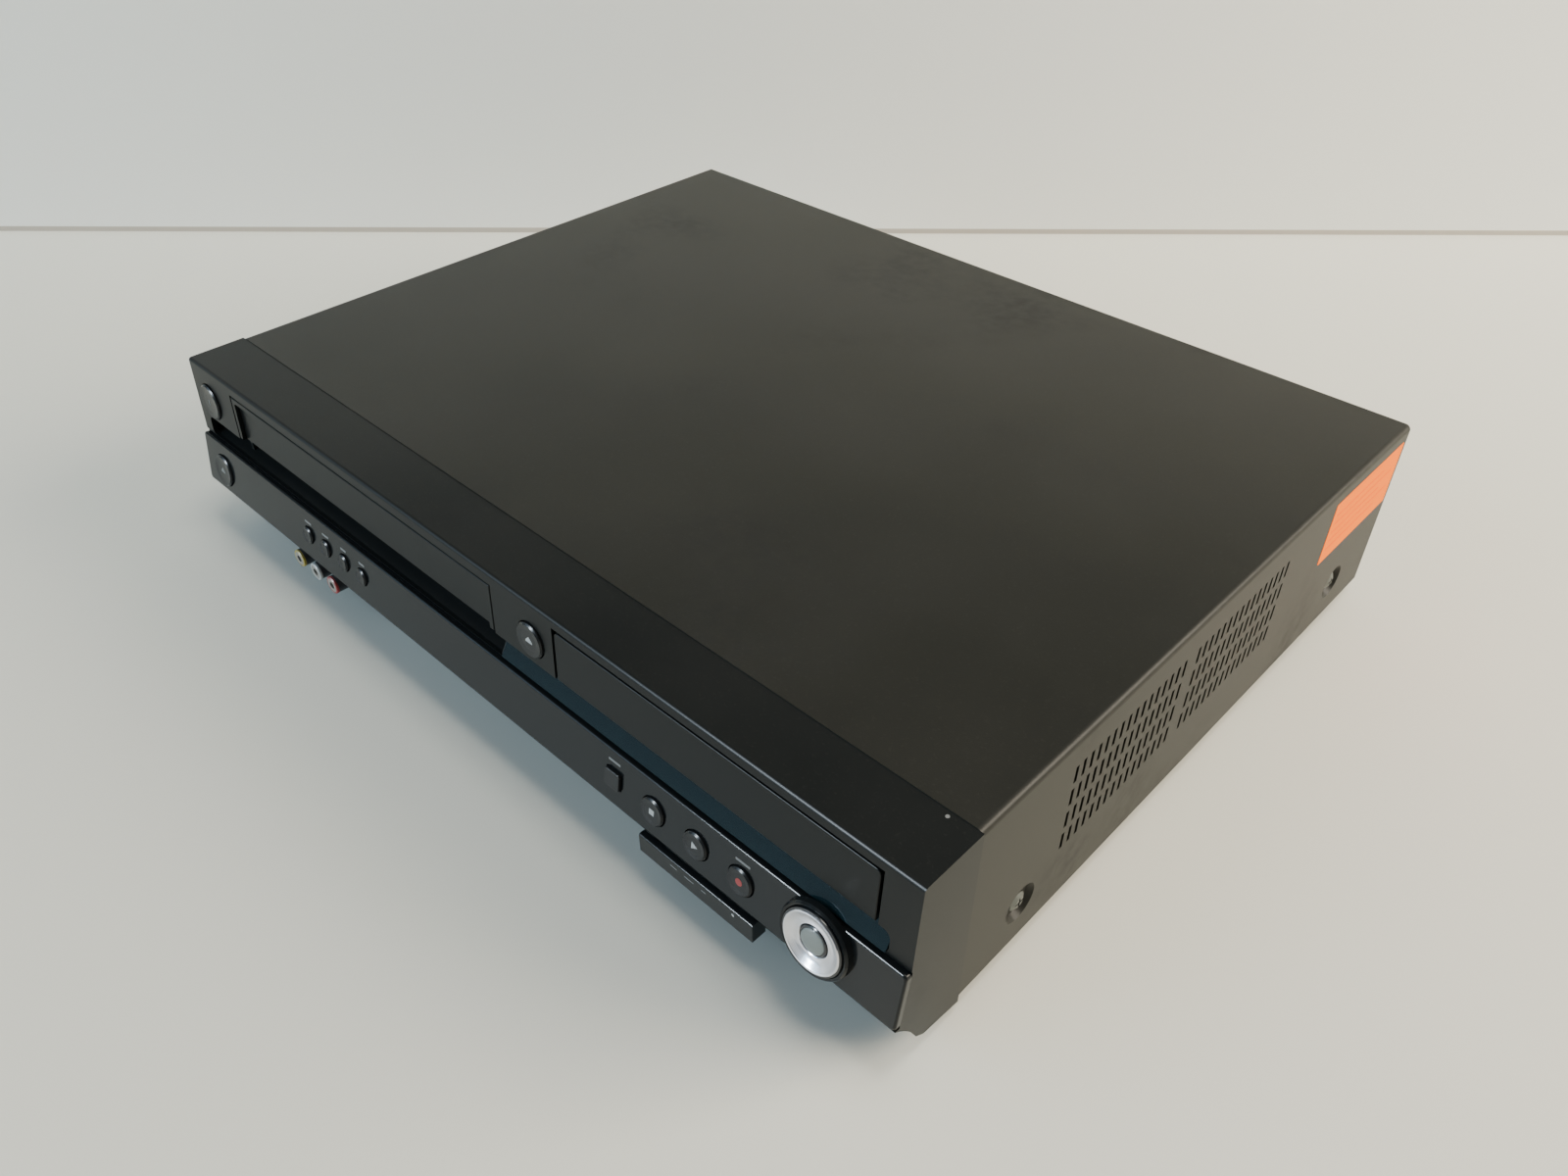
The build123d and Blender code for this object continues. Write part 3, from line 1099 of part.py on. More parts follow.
def make_front_sockets():
    """The three phono sockets and the round video socket on their block in the chin."""
    edge, contact_radius, contact_depth = 8, 0.6, 3
    reach = JACK_PLATE_Y - JACK_TIP_Y
    carrier = block((DIN_X - edge, JACK_XS[-1] + edge), *carrier_span())
    for x in JACK_XS:
        carrier -= rod_y(JACK_BORE, x, (JACK_PLATE_Y - 1, JACK_PLATE_Y + JACK_BORE_DEPTH), JACK_Z)
        carrier += jack(forward(x, JACK_PLATE_Y, JACK_Z), reach, POCKET_WALL + JACK_PROUD)
    carrier += rod_y(DIN_RADIUS, DIN_X, (POCKET_FLOOR_Y - 0.4, JACK_PLATE_Y + 1), JACK_Z)
    contact_ys = (POCKET_FLOOR_Y - 1, POCKET_FLOOR_Y + contact_depth)
    carrier -= [rod_y(contact_radius, DIN_X + dx, contact_ys, JACK_Z + dz)
                for dx in (-1.7, 1.7) for dz in (-1.2, 1.5)]
    return carrier


def make_flap_sockets():
    """Two round sockets on the block behind the flap."""
    edge, proud = 7, 0.8
    xs = flap_socket_xs()
    carrier = block((xs[0] - edge, xs[1] + edge), *carrier_span())
    for x in xs:
        carrier += rod_y(DIN_RADIUS, x, (POCKET_FLOOR_Y - proud, JACK_PLATE_Y + 1), JACK_Z)
        carrier -= rod_y(JACK_BORE, x, (POCKET_FLOOR_Y - 2, JACK_PLATE_Y + JACK_BORE_DEPTH), JACK_Z)
    return carrier


def make_jack_flap():
    """The small drop-down flap under the fascia, hollow behind, with its two pins."""
    top, foot = TOP - FLAP_TOP_DROP, TOP - FLAP_FOOT_DROP
    cheek_y, cheek_z, edge = FLAP_PIVOT_Y + 2.2, foot + 3.4, 0.7
    side = outline([(FLAP_FACE_Y, foot), (FLAP_FACE_Y, top), (FLAP_BACK_Y, top), (cheek_y, cheek_z), (cheek_y, foot)])
    side = fillet(side.vertices().sort_by_distance((FLAP_FACE_Y, top, 0))[0], edge)
    flap = along_x(side, (FLAP_LEFT, FLAP_RIGHT))
    flap -= block((FLAP_LEFT + FLAP_WALL, FLAP_RIGHT - FLAP_WALL), (FLAP_FACE_Y + FLAP_WALL, FLAP_FACE_Y + 20),
                  (foot - 1, top - FLAP_WALL))
    z = TOP - FLAP_PIVOT_DROP
    pin_reach = FLAP_WALL + FLAP_LUG_GAP + FLAP_LUG_WIDTH - FLAT_GAP
    flap += rod_x(FLAP_PIN_RADIUS, (FLAP_LEFT + FLAP_WALL - SINK, FLAP_LEFT + pin_reach), FLAP_PIVOT_Y, z)
    flap += rod_x(FLAP_PIN_RADIUS, (FLAP_RIGHT - pin_reach, FLAP_RIGHT - FLAP_WALL + SINK), FLAP_PIVOT_Y, z)
    return flap


# ---------------------------------------------------------------- disc drive
def gear_outline(teeth, module, thin):
    """A toothed wheel's outline with straight-sided teeth, thinned for play."""
    pitch = teeth * module / 2
    tip, root = pitch + TOOTH_TIP * module, pitch - TOOTH_ROOT * module
    half_root = 0.47 * pi / teeth
    half_tip = (0.22 * pi - thin / module / 2) / teeth
    points = []
    for tooth in range(teeth):
        middle = 2 * pi * tooth / teeth
        for radius, turn in ((root, -half_root), (tip, -half_tip), (tip, half_tip), (root, half_root)):
            points.append((radius * cos(middle + turn), radius * sin(middle + turn)))
    return outline(points)


def rack_outline():
    """The tray's rack from above: straight teeth that face the drive's middle."""
    pitch = pi * RACK_MODULE
    line = DRIVE_X + RACK_X
    root, tip = line - TOOTH_ROOT * RACK_MODULE, line + TOOTH_TIP * RACK_MODULE
    tooth_shape = ((root, 0), (root, 0.14), (tip, 0.38), (tip, 0.62), (root, 0.86))
    start, end = PINION_Y - pitch, PINION_Y + (RACK_TEETH - 1) * pitch
    points = [(root - RACK_BODY, start)]
    for tooth in range(RACK_TEETH):
        points += [(x, start + (tooth + share) * pitch) for x, share in tooth_shape]
    return outline(points + [(root, end), (root - RACK_BODY, end)])


def make_disc_tray():
    """The disc tray: recesses, open slot, skirts, side rails and rack."""
    front_y = upper_y(TRAY_FACE_FOOT, TRAY_FACE_THICK)
    plate_bottom = TRAY_TOP - TRAY_SLAB
    plan = patch((DRIVE_X - TRAY_HALF, DRIVE_X + TRAY_HALF), (front_y + 1, TRAY_REAR_Y), TRAY_CORNER)
    tray = along_z(plan, (plate_bottom, TRAY_TOP))
    tray -= rod(DISC_RADIUS, upright(DRIVE_X, DISC_Y), TRAY_TOP - TRAY_RECESS, TRAY_TOP + 1)
    small_floor = TRAY_TOP - TRAY_RECESS - SMALL_RECESS
    tray -= rod(SMALL_DISC_RADIUS, upright(DRIVE_X, DISC_Y), small_floor, TRAY_TOP + 1)
    slot = Pos(DRIVE_X, DISC_Y) * Circle(SLOT_HALF) + patch(
        (DRIVE_X - SLOT_HALF, DRIVE_X + SLOT_HALF), (DISC_Y, TRAY_REAR_Y + 1))
    tray -= along_z(slot, (plate_bottom - 1, TRAY_TOP + 1))
    for side in (-1, 1):
        edge = DRIVE_X + side * TRAY_HALF
        skirt = sorted((edge, edge - side * TRAY_SKIRT_WALL))
        tray += block(skirt, (front_y + 3, TRAY_REAR_Y - 2), (plate_bottom - TRAY_SKIRT, plate_bottom + SINK))
        rail = sorted((edge, edge + side * RAIL_REACH))
        tray += block(rail, (FRAME_FRONT_Y + 4, TRAY_REAR_Y - 2),
                      (TRAY_TOP - RAIL_DROP - RAIL_THICK, TRAY_TOP - RAIL_DROP))
    tray += along_z(rack_outline(), (plate_bottom - RACK_DEPTH, plate_bottom + 0.2))
    wall_top = -(TRAY_FACE_TOP + 2.5 - UPPER_TOP_DROP) / cos(TILT_UPPER)
    wall_foot = -(TRAY_FACE_FOOT - 1.5 - UPPER_TOP_DROP) / cos(TILT_UPPER)
    wall = patch((DRIVE_X - TRAY_HALF + 4, DRIVE_X + TRAY_HALF - 4), (wall_foot, wall_top), 1.5)
    return tray + extrude(UPPER_PLANE.offset(-TRAY_FACE_THICK) * wall, -TRAY_FRONT_WALL)


def make_tray_fascia():
    """The tray's own front, flush with the upper face."""
    high = -(TRAY_FACE_TOP - UPPER_TOP_DROP) / cos(TILT_UPPER)
    low = -(TRAY_FACE_FOOT - UPPER_TOP_DROP) / cos(TILT_UPPER)
    face = patch((DRIVE_X - FASCIA_SIDE, DRIVE_X + FASCIA_SIDE), (low, high))
    face = fillet(face.vertices().sort_by(Axis.Y)[-2:], TRAY_CORNER)
    front = extrude(UPPER_PLANE * face, -TRAY_FACE_THICK)
    edge = front.faces().sort_by(Axis((0, 0, 0), tuple(UPPER_PLANE.z_dir)))[-1].outer_wire().edges()
    return fillet(edge, 0.4)


def pinion_place():
    """X and Y of the tray pinion's axle."""
    return DRIVE_X + RACK_X + PINION_TEETH * RACK_MODULE / 2, PINION_Y


def pinion_bottom():
    """Underside of the pinion's toothed part, level with the rack's."""
    return TRAY_TOP - TRAY_SLAB - RACK_DEPTH


def make_tray_pinion():
    """The pinion that drives the rack, with its belt wheel below."""
    x, y = pinion_place()
    low = pinion_bottom()
    gear = Pos(x, y) * (Rot(0, 0, 180) * gear_outline(PINION_TEETH, RACK_MODULE, BACKLASH))
    wheel_low = low - WHEEL_THICK
    rim, flank, groove = 0.8, 1, WHEEL_RADIUS - GROOVE_DEPTH
    pinion = along_z(gear, (low, low + RACK_DEPTH - 0.6))
    pinion += turned([
        (0.5, wheel_low), (WHEEL_RADIUS, wheel_low), (WHEEL_RADIUS, wheel_low + rim), (groove, wheel_low + flank),
        (groove, low - flank), (WHEEL_RADIUS, low - rim), (WHEEL_RADIUS, low), (0.5, low)], upright(x, y))
    return pinion - rod(PINION_BORE + PIN_PLAY, upright(x, y), wheel_low - 1, low + RACK_DEPTH)


def make_tray_drive():
    """The tray motor under the frame's floor, its pulley and the belt round both wheels."""
    x, y = pinion_place()
    axle = upright(x + MOTOR_OFFSET, y)
    middle = pinion_bottom() - WHEEL_THICK / 2
    motor = rod(MOTOR_RADIUS, axle, FRAME_FLOOR - MOTOR_HEIGHT, FRAME_FLOOR)
    motor += rod(SPINDLE_RADIUS, axle, FRAME_FLOOR - 1, middle)
    motor += rod(PULLEY_RADIUS, axle, middle - BELT_WIDTH, middle + BELT_WIDTH)
    wheel_seat, pulley_seat = WHEEL_RADIUS - GROOVE_DEPTH + FLAT_GAP, PULLEY_RADIUS + FLAT_GAP
    loop = belt_loop(wheel_seat + BELT_THICK, pulley_seat + BELT_THICK) - belt_loop(wheel_seat, pulley_seat)
    half = BELT_WIDTH / 2 - 0.2
    return motor, Pos(x, y, 0) * along_z(loop, (middle - half, middle + half))


def belt_loop(large, small):
    """The filled outline of a belt round a large wheel at the origin and a small one beside it."""
    lean = asin((large - small) / MOTOR_OFFSET)
    tangents = [(large * sin(lean), large * cos(lean)), (MOTOR_OFFSET + small * sin(lean), small * cos(lean)),
                (MOTOR_OFFSET + small * sin(lean), -small * cos(lean)), (large * sin(lean), -large * cos(lean))]
    return outline(tangents) + Circle(large) + Pos(MOTOR_OFFSET, 0) * Circle(small)


def make_drive_frame():
    """The drive's moulded frame: floor, walls, tray guides, pivots, axle and legs."""
    floor = patch((DRIVE_X - FRAME_HALF, DRIVE_X + FRAME_HALF), (FRAME_FRONT_Y, FRAME_REAR_Y), 3)
    opening = (DRIVE_X - FRAME_OPEN_HALF, DRIVE_X + FRAME_OPEN_HALF)
    floor -= patch(opening, (FRAME_OPEN_FRONT_Y, FRAME_OPEN_REAR_Y), 5)
    frame = along_z(floor, (FRAME_FLOOR, FRAME_FLOOR + FRAME_FLOOR_THICK))
    rail_low = TRAY_TOP - RAIL_DROP - RAIL_THICK
    rail_high = TRAY_TOP - RAIL_DROP
    for side in (-1, 1):
        edge = DRIVE_X + side * FRAME_HALF
        frame += block(sorted((edge, edge - side * FRAME_WALL)), (FRAME_FRONT_Y, FRAME_REAR_Y),
                       (FRAME_FLOOR, FRAME_TOP))
        guide = sorted((edge - side * (FRAME_WALL - SINK), DRIVE_X + side * (TRAY_HALF + SLIDE_GAP)))
        for start, end in ((FRAME_FRONT_Y + 2, GUIDE_BREAK[0]), (GUIDE_BREAK[1], FRAME_REAR_Y - 2)):
            frame += block(guide, (start, end), (rail_low - FLAT_GAP - GUIDE_THICK, rail_low - FLAT_GAP))
            frame += block(guide, (start, end), (rail_high + FLAT_GAP, rail_high + FLAT_GAP + GUIDE_THICK))
        lug_in = DRIVE_X + side * (TRAVERSE_HALF + LUG_GAP)
        lug = sorted((lug_in, lug_in + side * LUG_WALL))
        ear = patch((TRAVERSE_PIVOT_Y - EAR_RADIUS, TRAVERSE_PIVOT_Y + EAR_RADIUS),
                    (FRAME_FLOOR + 1, TRAVERSE_Z + EAR_RADIUS), 2)
        frame += along_x(ear, lug)
        frame -= rod_x(PIVOT_RADIUS + PIN_PLAY, (lug[0] - 1, lug[1] + 1), TRAVERSE_PIVOT_Y, TRAVERSE_Z)
    x, y = pinion_place()
    frame += rod(PINION_BORE, upright(x, y), FRAME_FLOOR, pinion_bottom() + RACK_DEPTH - 1)
    frame += rod(PINION_BORE + 1.6, upright(x, y), FRAME_FLOOR, pinion_bottom() - WHEEL_THICK - 0.2)
    frame -= rod(SPINDLE_RADIUS + 0.6, upright(x + MOTOR_OFFSET, y), FRAME_FLOOR - 1, FRAME_FLOOR + 3)
    for place in drive_leg_places():
        frame += rod(LEG_RADIUS, upright(*place), FLOOR_TOP, FRAME_FLOOR + SINK)
    return frame


def drive_leg_places():
    """Where the drive's four legs stand on the chassis."""
    reach = FRAME_HALF - LEG_INSET
    leg_ys = (FRAME_FRONT_Y + 12, FRAME_REAR_Y - LEG_INSET)
    return [(DRIVE_X + side * reach, y) for side in (-1, 1) for y in leg_ys]


def make_clamper_bridge():
    """The steel bridge across the drive that holds the disc clamper."""
    corner, neck_gap, window_x, window, lip_half, lip_drop = 3, 0.8, 45, (30, 10), 60, 2.5
    bridge_ys = (DISC_Y - BRIDGE_HALF_Y, DISC_Y + BRIDGE_HALF_Y)
    plate = patch((DRIVE_X - FRAME_HALF, DRIVE_X + FRAME_HALF), bridge_ys, corner)
    plate -= Pos(DRIVE_X, DISC_Y) * Circle(CLAMPER_NECK + neck_gap)
    plate -= [Pos(DRIVE_X + side * window_x, DISC_Y) * SlotOverall(*window) for side in (-1, 1)]
    bridge = along_z(plate, (FRAME_TOP, FRAME_TOP + BRIDGE_SHEET))
    for side in (-1, 1):
        edge = sorted((DISC_Y + side * BRIDGE_HALF_Y, DISC_Y + side * (BRIDGE_HALF_Y - BRIDGE_SHEET)))
        bridge += block((DRIVE_X - lip_half, DRIVE_X + lip_half), edge, (FRAME_TOP - lip_drop, FRAME_TOP + SINK))
    return bridge


def make_clamper():
    """The clamper that presses a disc on the turntable, hung in the bridge's hole."""
    bore, pad, shoulder, flange = 3, 2.4, 3.0, 1.2
    hang = FRAME_TOP + BRIDGE_SHEET + FLAT_GAP
    return turned([
        (bore, CLAMPER_BOTTOM), (CLAMPER_RADIUS, CLAMPER_BOTTOM), (CLAMPER_RADIUS, CLAMPER_BOTTOM + pad),
        (CLAMPER_NECK, CLAMPER_BOTTOM + shoulder), (CLAMPER_NECK, hang), (CLAMPER_FLANGE, hang),
        (CLAMPER_FLANGE, hang + flange), (CLAMPER_NECK - 2, hang + 2), (bore, hang + 2)], upright(DRIVE_X, DISC_Y))


def make_traverse_chassis():
    """The swinging plate that carries the spindle motor, the pickup's rods and its screw."""
    corner, block_half, web_wall, web_rise = 3, 4, 1.5, 3
    pickup_half, tail_half = 18, 34
    low, high = TRAVERSE_Z - TRAVERSE_THICK / 2, TRAVERSE_Z + TRAVERSE_THICK / 2
    rear_y = TRAVERSE_PIVOT_Y + 3
    lead_x = DRIVE_X + LEAD_X
    plan = patch((DRIVE_X - TRAVERSE_HALF, DRIVE_X + TRAVERSE_HALF), (TRAVERSE_FRONT_Y, rear_y), corner)
    plan -= Pos(DRIVE_X, DISC_Y) * Circle(SPINDLE_MOTOR_RADIUS + FLAT_GAP)
    plan -= patch((DRIVE_X - pickup_half, DRIVE_X + pickup_half), (ROD_FRONT_Y + 10, ROD_REAR_Y - 4), corner)
    plan -= patch((DRIVE_X - tail_half, DRIVE_X + tail_half), (ROD_REAR_Y + 4, rear_y + 1))
    motor_half = SLED_MOTOR_RADIUS + FLAT_GAP
    plan -= patch((lead_x - motor_half, lead_x + motor_half),
                  (ROD_FRONT_Y - SLED_MOTOR_LENGTH - FLAT_GAP, ROD_FRONT_Y))
    plate = along_z(plan, (low, high))
    for x in (DRIVE_X - ROD_X, DRIVE_X + ROD_X, lead_x):
        for y in (ROD_FRONT_Y, ROD_REAR_Y - ROD_BLOCK):
            plate += block((x - block_half, x + block_half), (y, y + ROD_BLOCK), (high - SINK, ROD_Z + 3))
    for x in (DRIVE_X - ROD_X, DRIVE_X + ROD_X):
        plate -= rod_y(ROD_RADIUS, x, (ROD_FRONT_Y + 1, ROD_REAR_Y - 1), ROD_Z)
    plate -= rod_y(LEAD_JOURNAL + PIN_PLAY, lead_x, (ROD_FRONT_Y - 1, ROD_REAR_Y + 1), ROD_Z)
    for side in (-1, 1):
        edge = DRIVE_X + side * TRAVERSE_HALF
        pin = sorted((edge - side, edge + side * (LUG_GAP + LUG_WALL - FLAT_GAP)))
        plate += rod_x(PIVOT_RADIUS, pin, TRAVERSE_PIVOT_Y, TRAVERSE_Z)
        plate += block(sorted((edge, edge - side * web_wall)), (TRAVERSE_FRONT_Y + 4, TRAVERSE_PIVOT_Y),
                       (high - SINK, high + web_rise))
    return plate


def make_spindle_motor():
    """The flat motor under the turntable, with the seat ring that carries it on the plate."""
    seat = TRAVERSE_Z + TRAVERSE_THICK / 2
    return turned([
        (SPINDLE_RADIUS + PIN_PLAY, SPINDLE_MOTOR_BOTTOM), (SPINDLE_MOTOR_RADIUS - 1, SPINDLE_MOTOR_BOTTOM),
        (SPINDLE_MOTOR_RADIUS, SPINDLE_MOTOR_BOTTOM + 1), (SPINDLE_MOTOR_RADIUS, seat),
        (SPINDLE_MOTOR_RADIUS + 1.4, seat), (SPINDLE_MOTOR_RADIUS + 1.4, seat + 1.2),
        (SPINDLE_MOTOR_RADIUS, seat + 1.2), (SPINDLE_MOTOR_RADIUS, SPINDLE_MOTOR_TOP - 1),
        (SPINDLE_MOTOR_RADIUS - 1, SPINDLE_MOTOR_TOP), (SPINDLE_RADIUS + PIN_PLAY, SPINDLE_MOTOR_TOP)],
        upright(DRIVE_X, DISC_Y))


def make_guide_rods():
    """The pickup's two guide rods and the small motor that turns its screw."""
    rods = [rod_y(ROD_RADIUS, DRIVE_X + x, (ROD_FRONT_Y + 1, ROD_REAR_Y - 1), ROD_Z) for x in (-ROD_X, ROD_X)]
    motor = rod_y(SLED_MOTOR_RADIUS, DRIVE_X + LEAD_X, (ROD_FRONT_Y - SLED_MOTOR_LENGTH, ROD_FRONT_Y), ROD_Z)
    return rods + [motor]


def make_turntable():
    """The turntable with its cone and spindle."""
    boss_radius, boss_drop, dimple_edge, dimple_radius, dimple_drop = 5, 1.6, 2.5, 1.8, 0.8
    foot = SPINDLE_MOTOR_BOTTOM + 1
    boss = TURNTABLE_BOTTOM - boss_drop
    return turned([
        (0, foot), (SPINDLE_RADIUS, foot), (SPINDLE_RADIUS, boss), (boss_radius, boss),
        (boss_radius, TURNTABLE_BOTTOM), (TURNTABLE_RADIUS, TURNTABLE_BOTTOM),
        (TURNTABLE_RADIUS, DISC_LEVEL - 0.3), (TURNTABLE_RADIUS - 0.5, DISC_LEVEL), (HUB_RADIUS, DISC_LEVEL),
        (HUB_RADIUS, DISC_LEVEL + 0.8), (HUB_RADIUS - 1.6, HUB_TOP), (dimple_edge, HUB_TOP),
        (dimple_radius, HUB_TOP - dimple_drop), (0, HUB_TOP - dimple_drop)], upright(DRIVE_X, DISC_Y))


def make_pickup_sled():
    """The laser pickup: sled on two rods, lens turret and the arm into the screw."""
    cheek, recess_half, arm_width = 3.4, 14, 6
    lens_y = DISC_Y + LENS_RADIUS_REST
    front_y, rear_y = lens_y - SLED_FRONT, lens_y + SLED_REAR
    low, high = ROD_Z - SLED_THICK / 2, ROD_Z + SLED_THICK / 2
    half = ROD_X + cheek
    sled = along_z(patch((DRIVE_X - half, DRIVE_X + half), (front_y, rear_y), 2), (low, high))
    sled -= block((DRIVE_X - recess_half, DRIVE_X + recess_half), (lens_y + 7, rear_y - 3), (high - 2, high + 1))
    turret, shelf = LENS_RADIUS + 1, LENS_TOP - 0.8
    sled += turned([
        (0, high - SINK), (turret, high - SINK), (turret, LENS_TOP - 1.4), (LENS_RADIUS, shelf),
        (2.6, shelf), (1.6, LENS_TOP), (0, LENS_TOP)], upright(DRIVE_X, lens_y))
    for x in (-ROD_X, ROD_X):
        sled -= rod_y(ROD_RADIUS + PIN_PLAY, DRIVE_X + x, (front_y - 1, rear_y + 1), ROD_Z)
    sled += block((DRIVE_X + ROD_X + 3, DRIVE_X + LEAD_X + cheek), (lens_y, lens_y + arm_width), (low, high))
    return sled - rod_y(LEAD_RADIUS + FLAT_GAP, DRIVE_X + LEAD_X, (lens_y - 1, lens_y + arm_width + 1), ROD_Z)


def make_lead_screw():
    """The pickup's screw, with collars for its thread and two journals."""
    core = LEAD_RADIUS - 0.5
    start = ROD_BLOCK + FLAT_GAP
    end = ROD_REAR_Y - ROD_FRONT_Y - ROD_BLOCK - FLAT_GAP
    threads = int((end - start) / LEAD_PITCH)
    points = [(0, FLAT_GAP), (LEAD_JOURNAL, FLAT_GAP), (LEAD_JOURNAL, start)]
    for thread in range(threads):
        y = start + thread * LEAD_PITCH
        points += [(LEAD_RADIUS, y + 0.5), (LEAD_RADIUS, y + LEAD_PITCH / 2),
                   (core, y + LEAD_PITCH / 2 + 0.5), (core, y + LEAD_PITCH)]
    tail = end + ROD_BLOCK
    points += [(LEAD_JOURNAL, start + threads * LEAD_PITCH + 0.1), (LEAD_JOURNAL, tail), (0, tail)]
    return turned(points, backward(DRIVE_X + LEAD_X, ROD_FRONT_Y, ROD_Z))


# ---------------------------------------------------------------- cassette deck
def guide_slot(side):
    """The curved slot in the deck along which one tape guide swings."""
    start = -90 + side * (GUIDE_START - 5)
    sweep = side * (GUIDE_SWING + 10)
    arc = CenterArc((DRUM_X, DRUM_Y), GUIDE_ORBIT, start, sweep)
    return SlotArc(arc, GUIDE_SLOT)


def make_deck_chassis():
    """The deck plate: guide slots, bearings, pivot posts, raised rim and legs."""
    low = DECK_Z - DECK_SHEET
    plan = patch((DECK_X - DECK_HALF, DECK_X + DECK_HALF), (DECK_FRONT_Y, DECK_REAR_Y), 4)
    for side in (-1, 1):
        plan -= guide_slot(side)
    plan -= Pos(CAPSTAN_X, CAPSTAN_Y) * Circle(CAPSTAN_RADIUS + 2.5)
    plan -= [Pos(DECK_X + x, 70) * SlotOverall(40, 14) for x in (-60, 0, 60)]
    deck = along_z(plan, (low, DECK_Z))
    inner_half = DECK_HALF - DECK_RIM
    rim = patch((DECK_X - DECK_HALF, DECK_X + DECK_HALF), (DECK_FRONT_Y, DECK_REAR_Y), 4)
    rim -= patch((DECK_X - inner_half, DECK_X + inner_half), (DECK_FRONT_Y + DECK_RIM, DECK_REAR_Y - DECK_RIM), 3)
    deck += along_z(rim, (low - DECK_RIM_HEIGHT, low + SINK))
    for side in (-1, 1):
        deck += rod(REEL_POST, upright(DECK_X + side * REEL_X, REEL_Y), DECK_Z - SINK, DECK_Z + REEL_POST_HEIGHT)
    deck += rod(PINCH_POST, upright(PINCH_X, PINCH_Y), DECK_Z - SINK, DECK_Z + PINCH_POST_HEIGHT)
    deck += rod(GUIDE_PIVOT, upright(DRUM_X, DRUM_Y), low - GUIDE_PIVOT_DEPTH, low + SINK)
    bore, boss = CAPSTAN_RADIUS + PIN_PLAY, CAPSTAN_RADIUS + CAPSTAN_BOSS_WALL
    deck += turned([(bore, low - 2), (boss, low - 2), (boss, DECK_Z + CAPSTAN_BOSS), (bore, DECK_Z + CAPSTAN_BOSS)],
                   upright(CAPSTAN_X, CAPSTAN_Y))
    for x in (-DECK_HALF + 11, DECK_HALF - 11):
        for y in (DECK_FRONT_Y + 17, DECK_REAR_Y - 10):
            deck += rod(LEG_RADIUS, upright(DECK_X + x, y), FLOOR_TOP, low + SINK)
    return deck


def drum_place(height):
    """The place on the drum's tilted axis at a height above its base."""
    return Pos(DRUM_X, DRUM_Y, DRUM_BASE_Z) * Rot(DRUM_TILT, 0, 0) * Pos(0, 0, height)


def make_lower_drum():
    """The fixed lower drum with its tilted base and the ledge that guides the tape."""
    bore, neck, ledge, base_size, base_corner = 2.1, DRUM_RADIUS - 5, DRUM_RADIUS + 0.6, 48, 8
    drum = turned([
        (bore, 0), (neck, 0), (neck, 1.5), (ledge, 1.5), (ledge, 4), (DRUM_RADIUS, 5),
        (DRUM_RADIUS, LOWER_DRUM_HEIGHT), (bore, LOWER_DRUM_HEIGHT)], drum_place(0))
    base = Pos(DRUM_X, DRUM_Y) * RectangleRounded(base_size, base_size, base_corner)
    return drum + (along_z(base, (DECK_Z, DRUM_BASE_Z + 3)) - drum_place(5) * Cylinder(bore, 30))


def make_upper_drum():
    """The turning upper drum with its head windows and spindle."""
    boss, well, spindle = 12, 6, 2
    low = LOWER_DRUM_HEIGHT + DRUM_GAP
    high = low + UPPER_DRUM_HEIGHT
    drum = turned([
        (0, 3), (spindle, 3), (spindle, low), (DRUM_RADIUS, low), (DRUM_RADIUS, high - 1), (DRUM_RADIUS - 1, high),
        (boss, high), (boss, high + 2), (well, high + 2), (well, high - 4), (0, high - 4)], drum_place(0))
    for side in (-1, 1):
        drum -= drum_place(low) * Pos(side * DRUM_RADIUS, 0, 0) * Box(4, 4, 3)
    return drum


def make_reel(side):
    """A reel table: disc, rim and finned hub, turning on its post."""
    place = upright(DECK_X + side * REEL_X, REEL_Y, DECK_Z + FLAT_GAP)
    height = REEL_TOP - DECK_Z - FLAT_GAP
    bore, rim, disc_top, shoulder = REEL_POST + PIN_PLAY, 4, 4.6, 6
    reel = turned([
        (bore, 0), (REEL_RADIUS - 2, 0), (REEL_RADIUS, 1), (REEL_RADIUS, rim), (REEL_RADIUS - 1.5, disc_top),
        (REEL_HUB_RADIUS + 1, disc_top), (REEL_HUB_RADIUS, shoulder), (REEL_HUB_RADIUS, height - 3),
        (REEL_HUB_RADIUS * 0.45, height), (0, height), (0, REEL_POST_HEIGHT), (bore, REEL_POST_HEIGHT)], place)
    fin = Pos(REEL_HUB_RADIUS, 0, 10) * Box(2.8, 1.1, 9)
    return reel + [place * Rot(0, 0, turn * 360 / REEL_FINS) * fin for turn in range(REEL_FINS)]


def make_capstan():
    """The capstan shaft with its flywheel under the deck."""
    hub, collar = 6, CAPSTAN_RADIUS + 1.5
    low, high = FLYWHEEL_BOTTOM, FLYWHEEL_BOTTOM + FLYWHEEL_THICK
    return turned([
        (0, low - 1.2), (FLYWHEEL_RADIUS / 2, low), (FLYWHEEL_RADIUS, low), (FLYWHEEL_RADIUS, high), (hub, high),
        (collar, high + 1), (CAPSTAN_RADIUS, high + 1), (CAPSTAN_RADIUS, CAPSTAN_TOP), (0, CAPSTAN_TOP)],
        upright(CAPSTAN_X, CAPSTAN_Y))


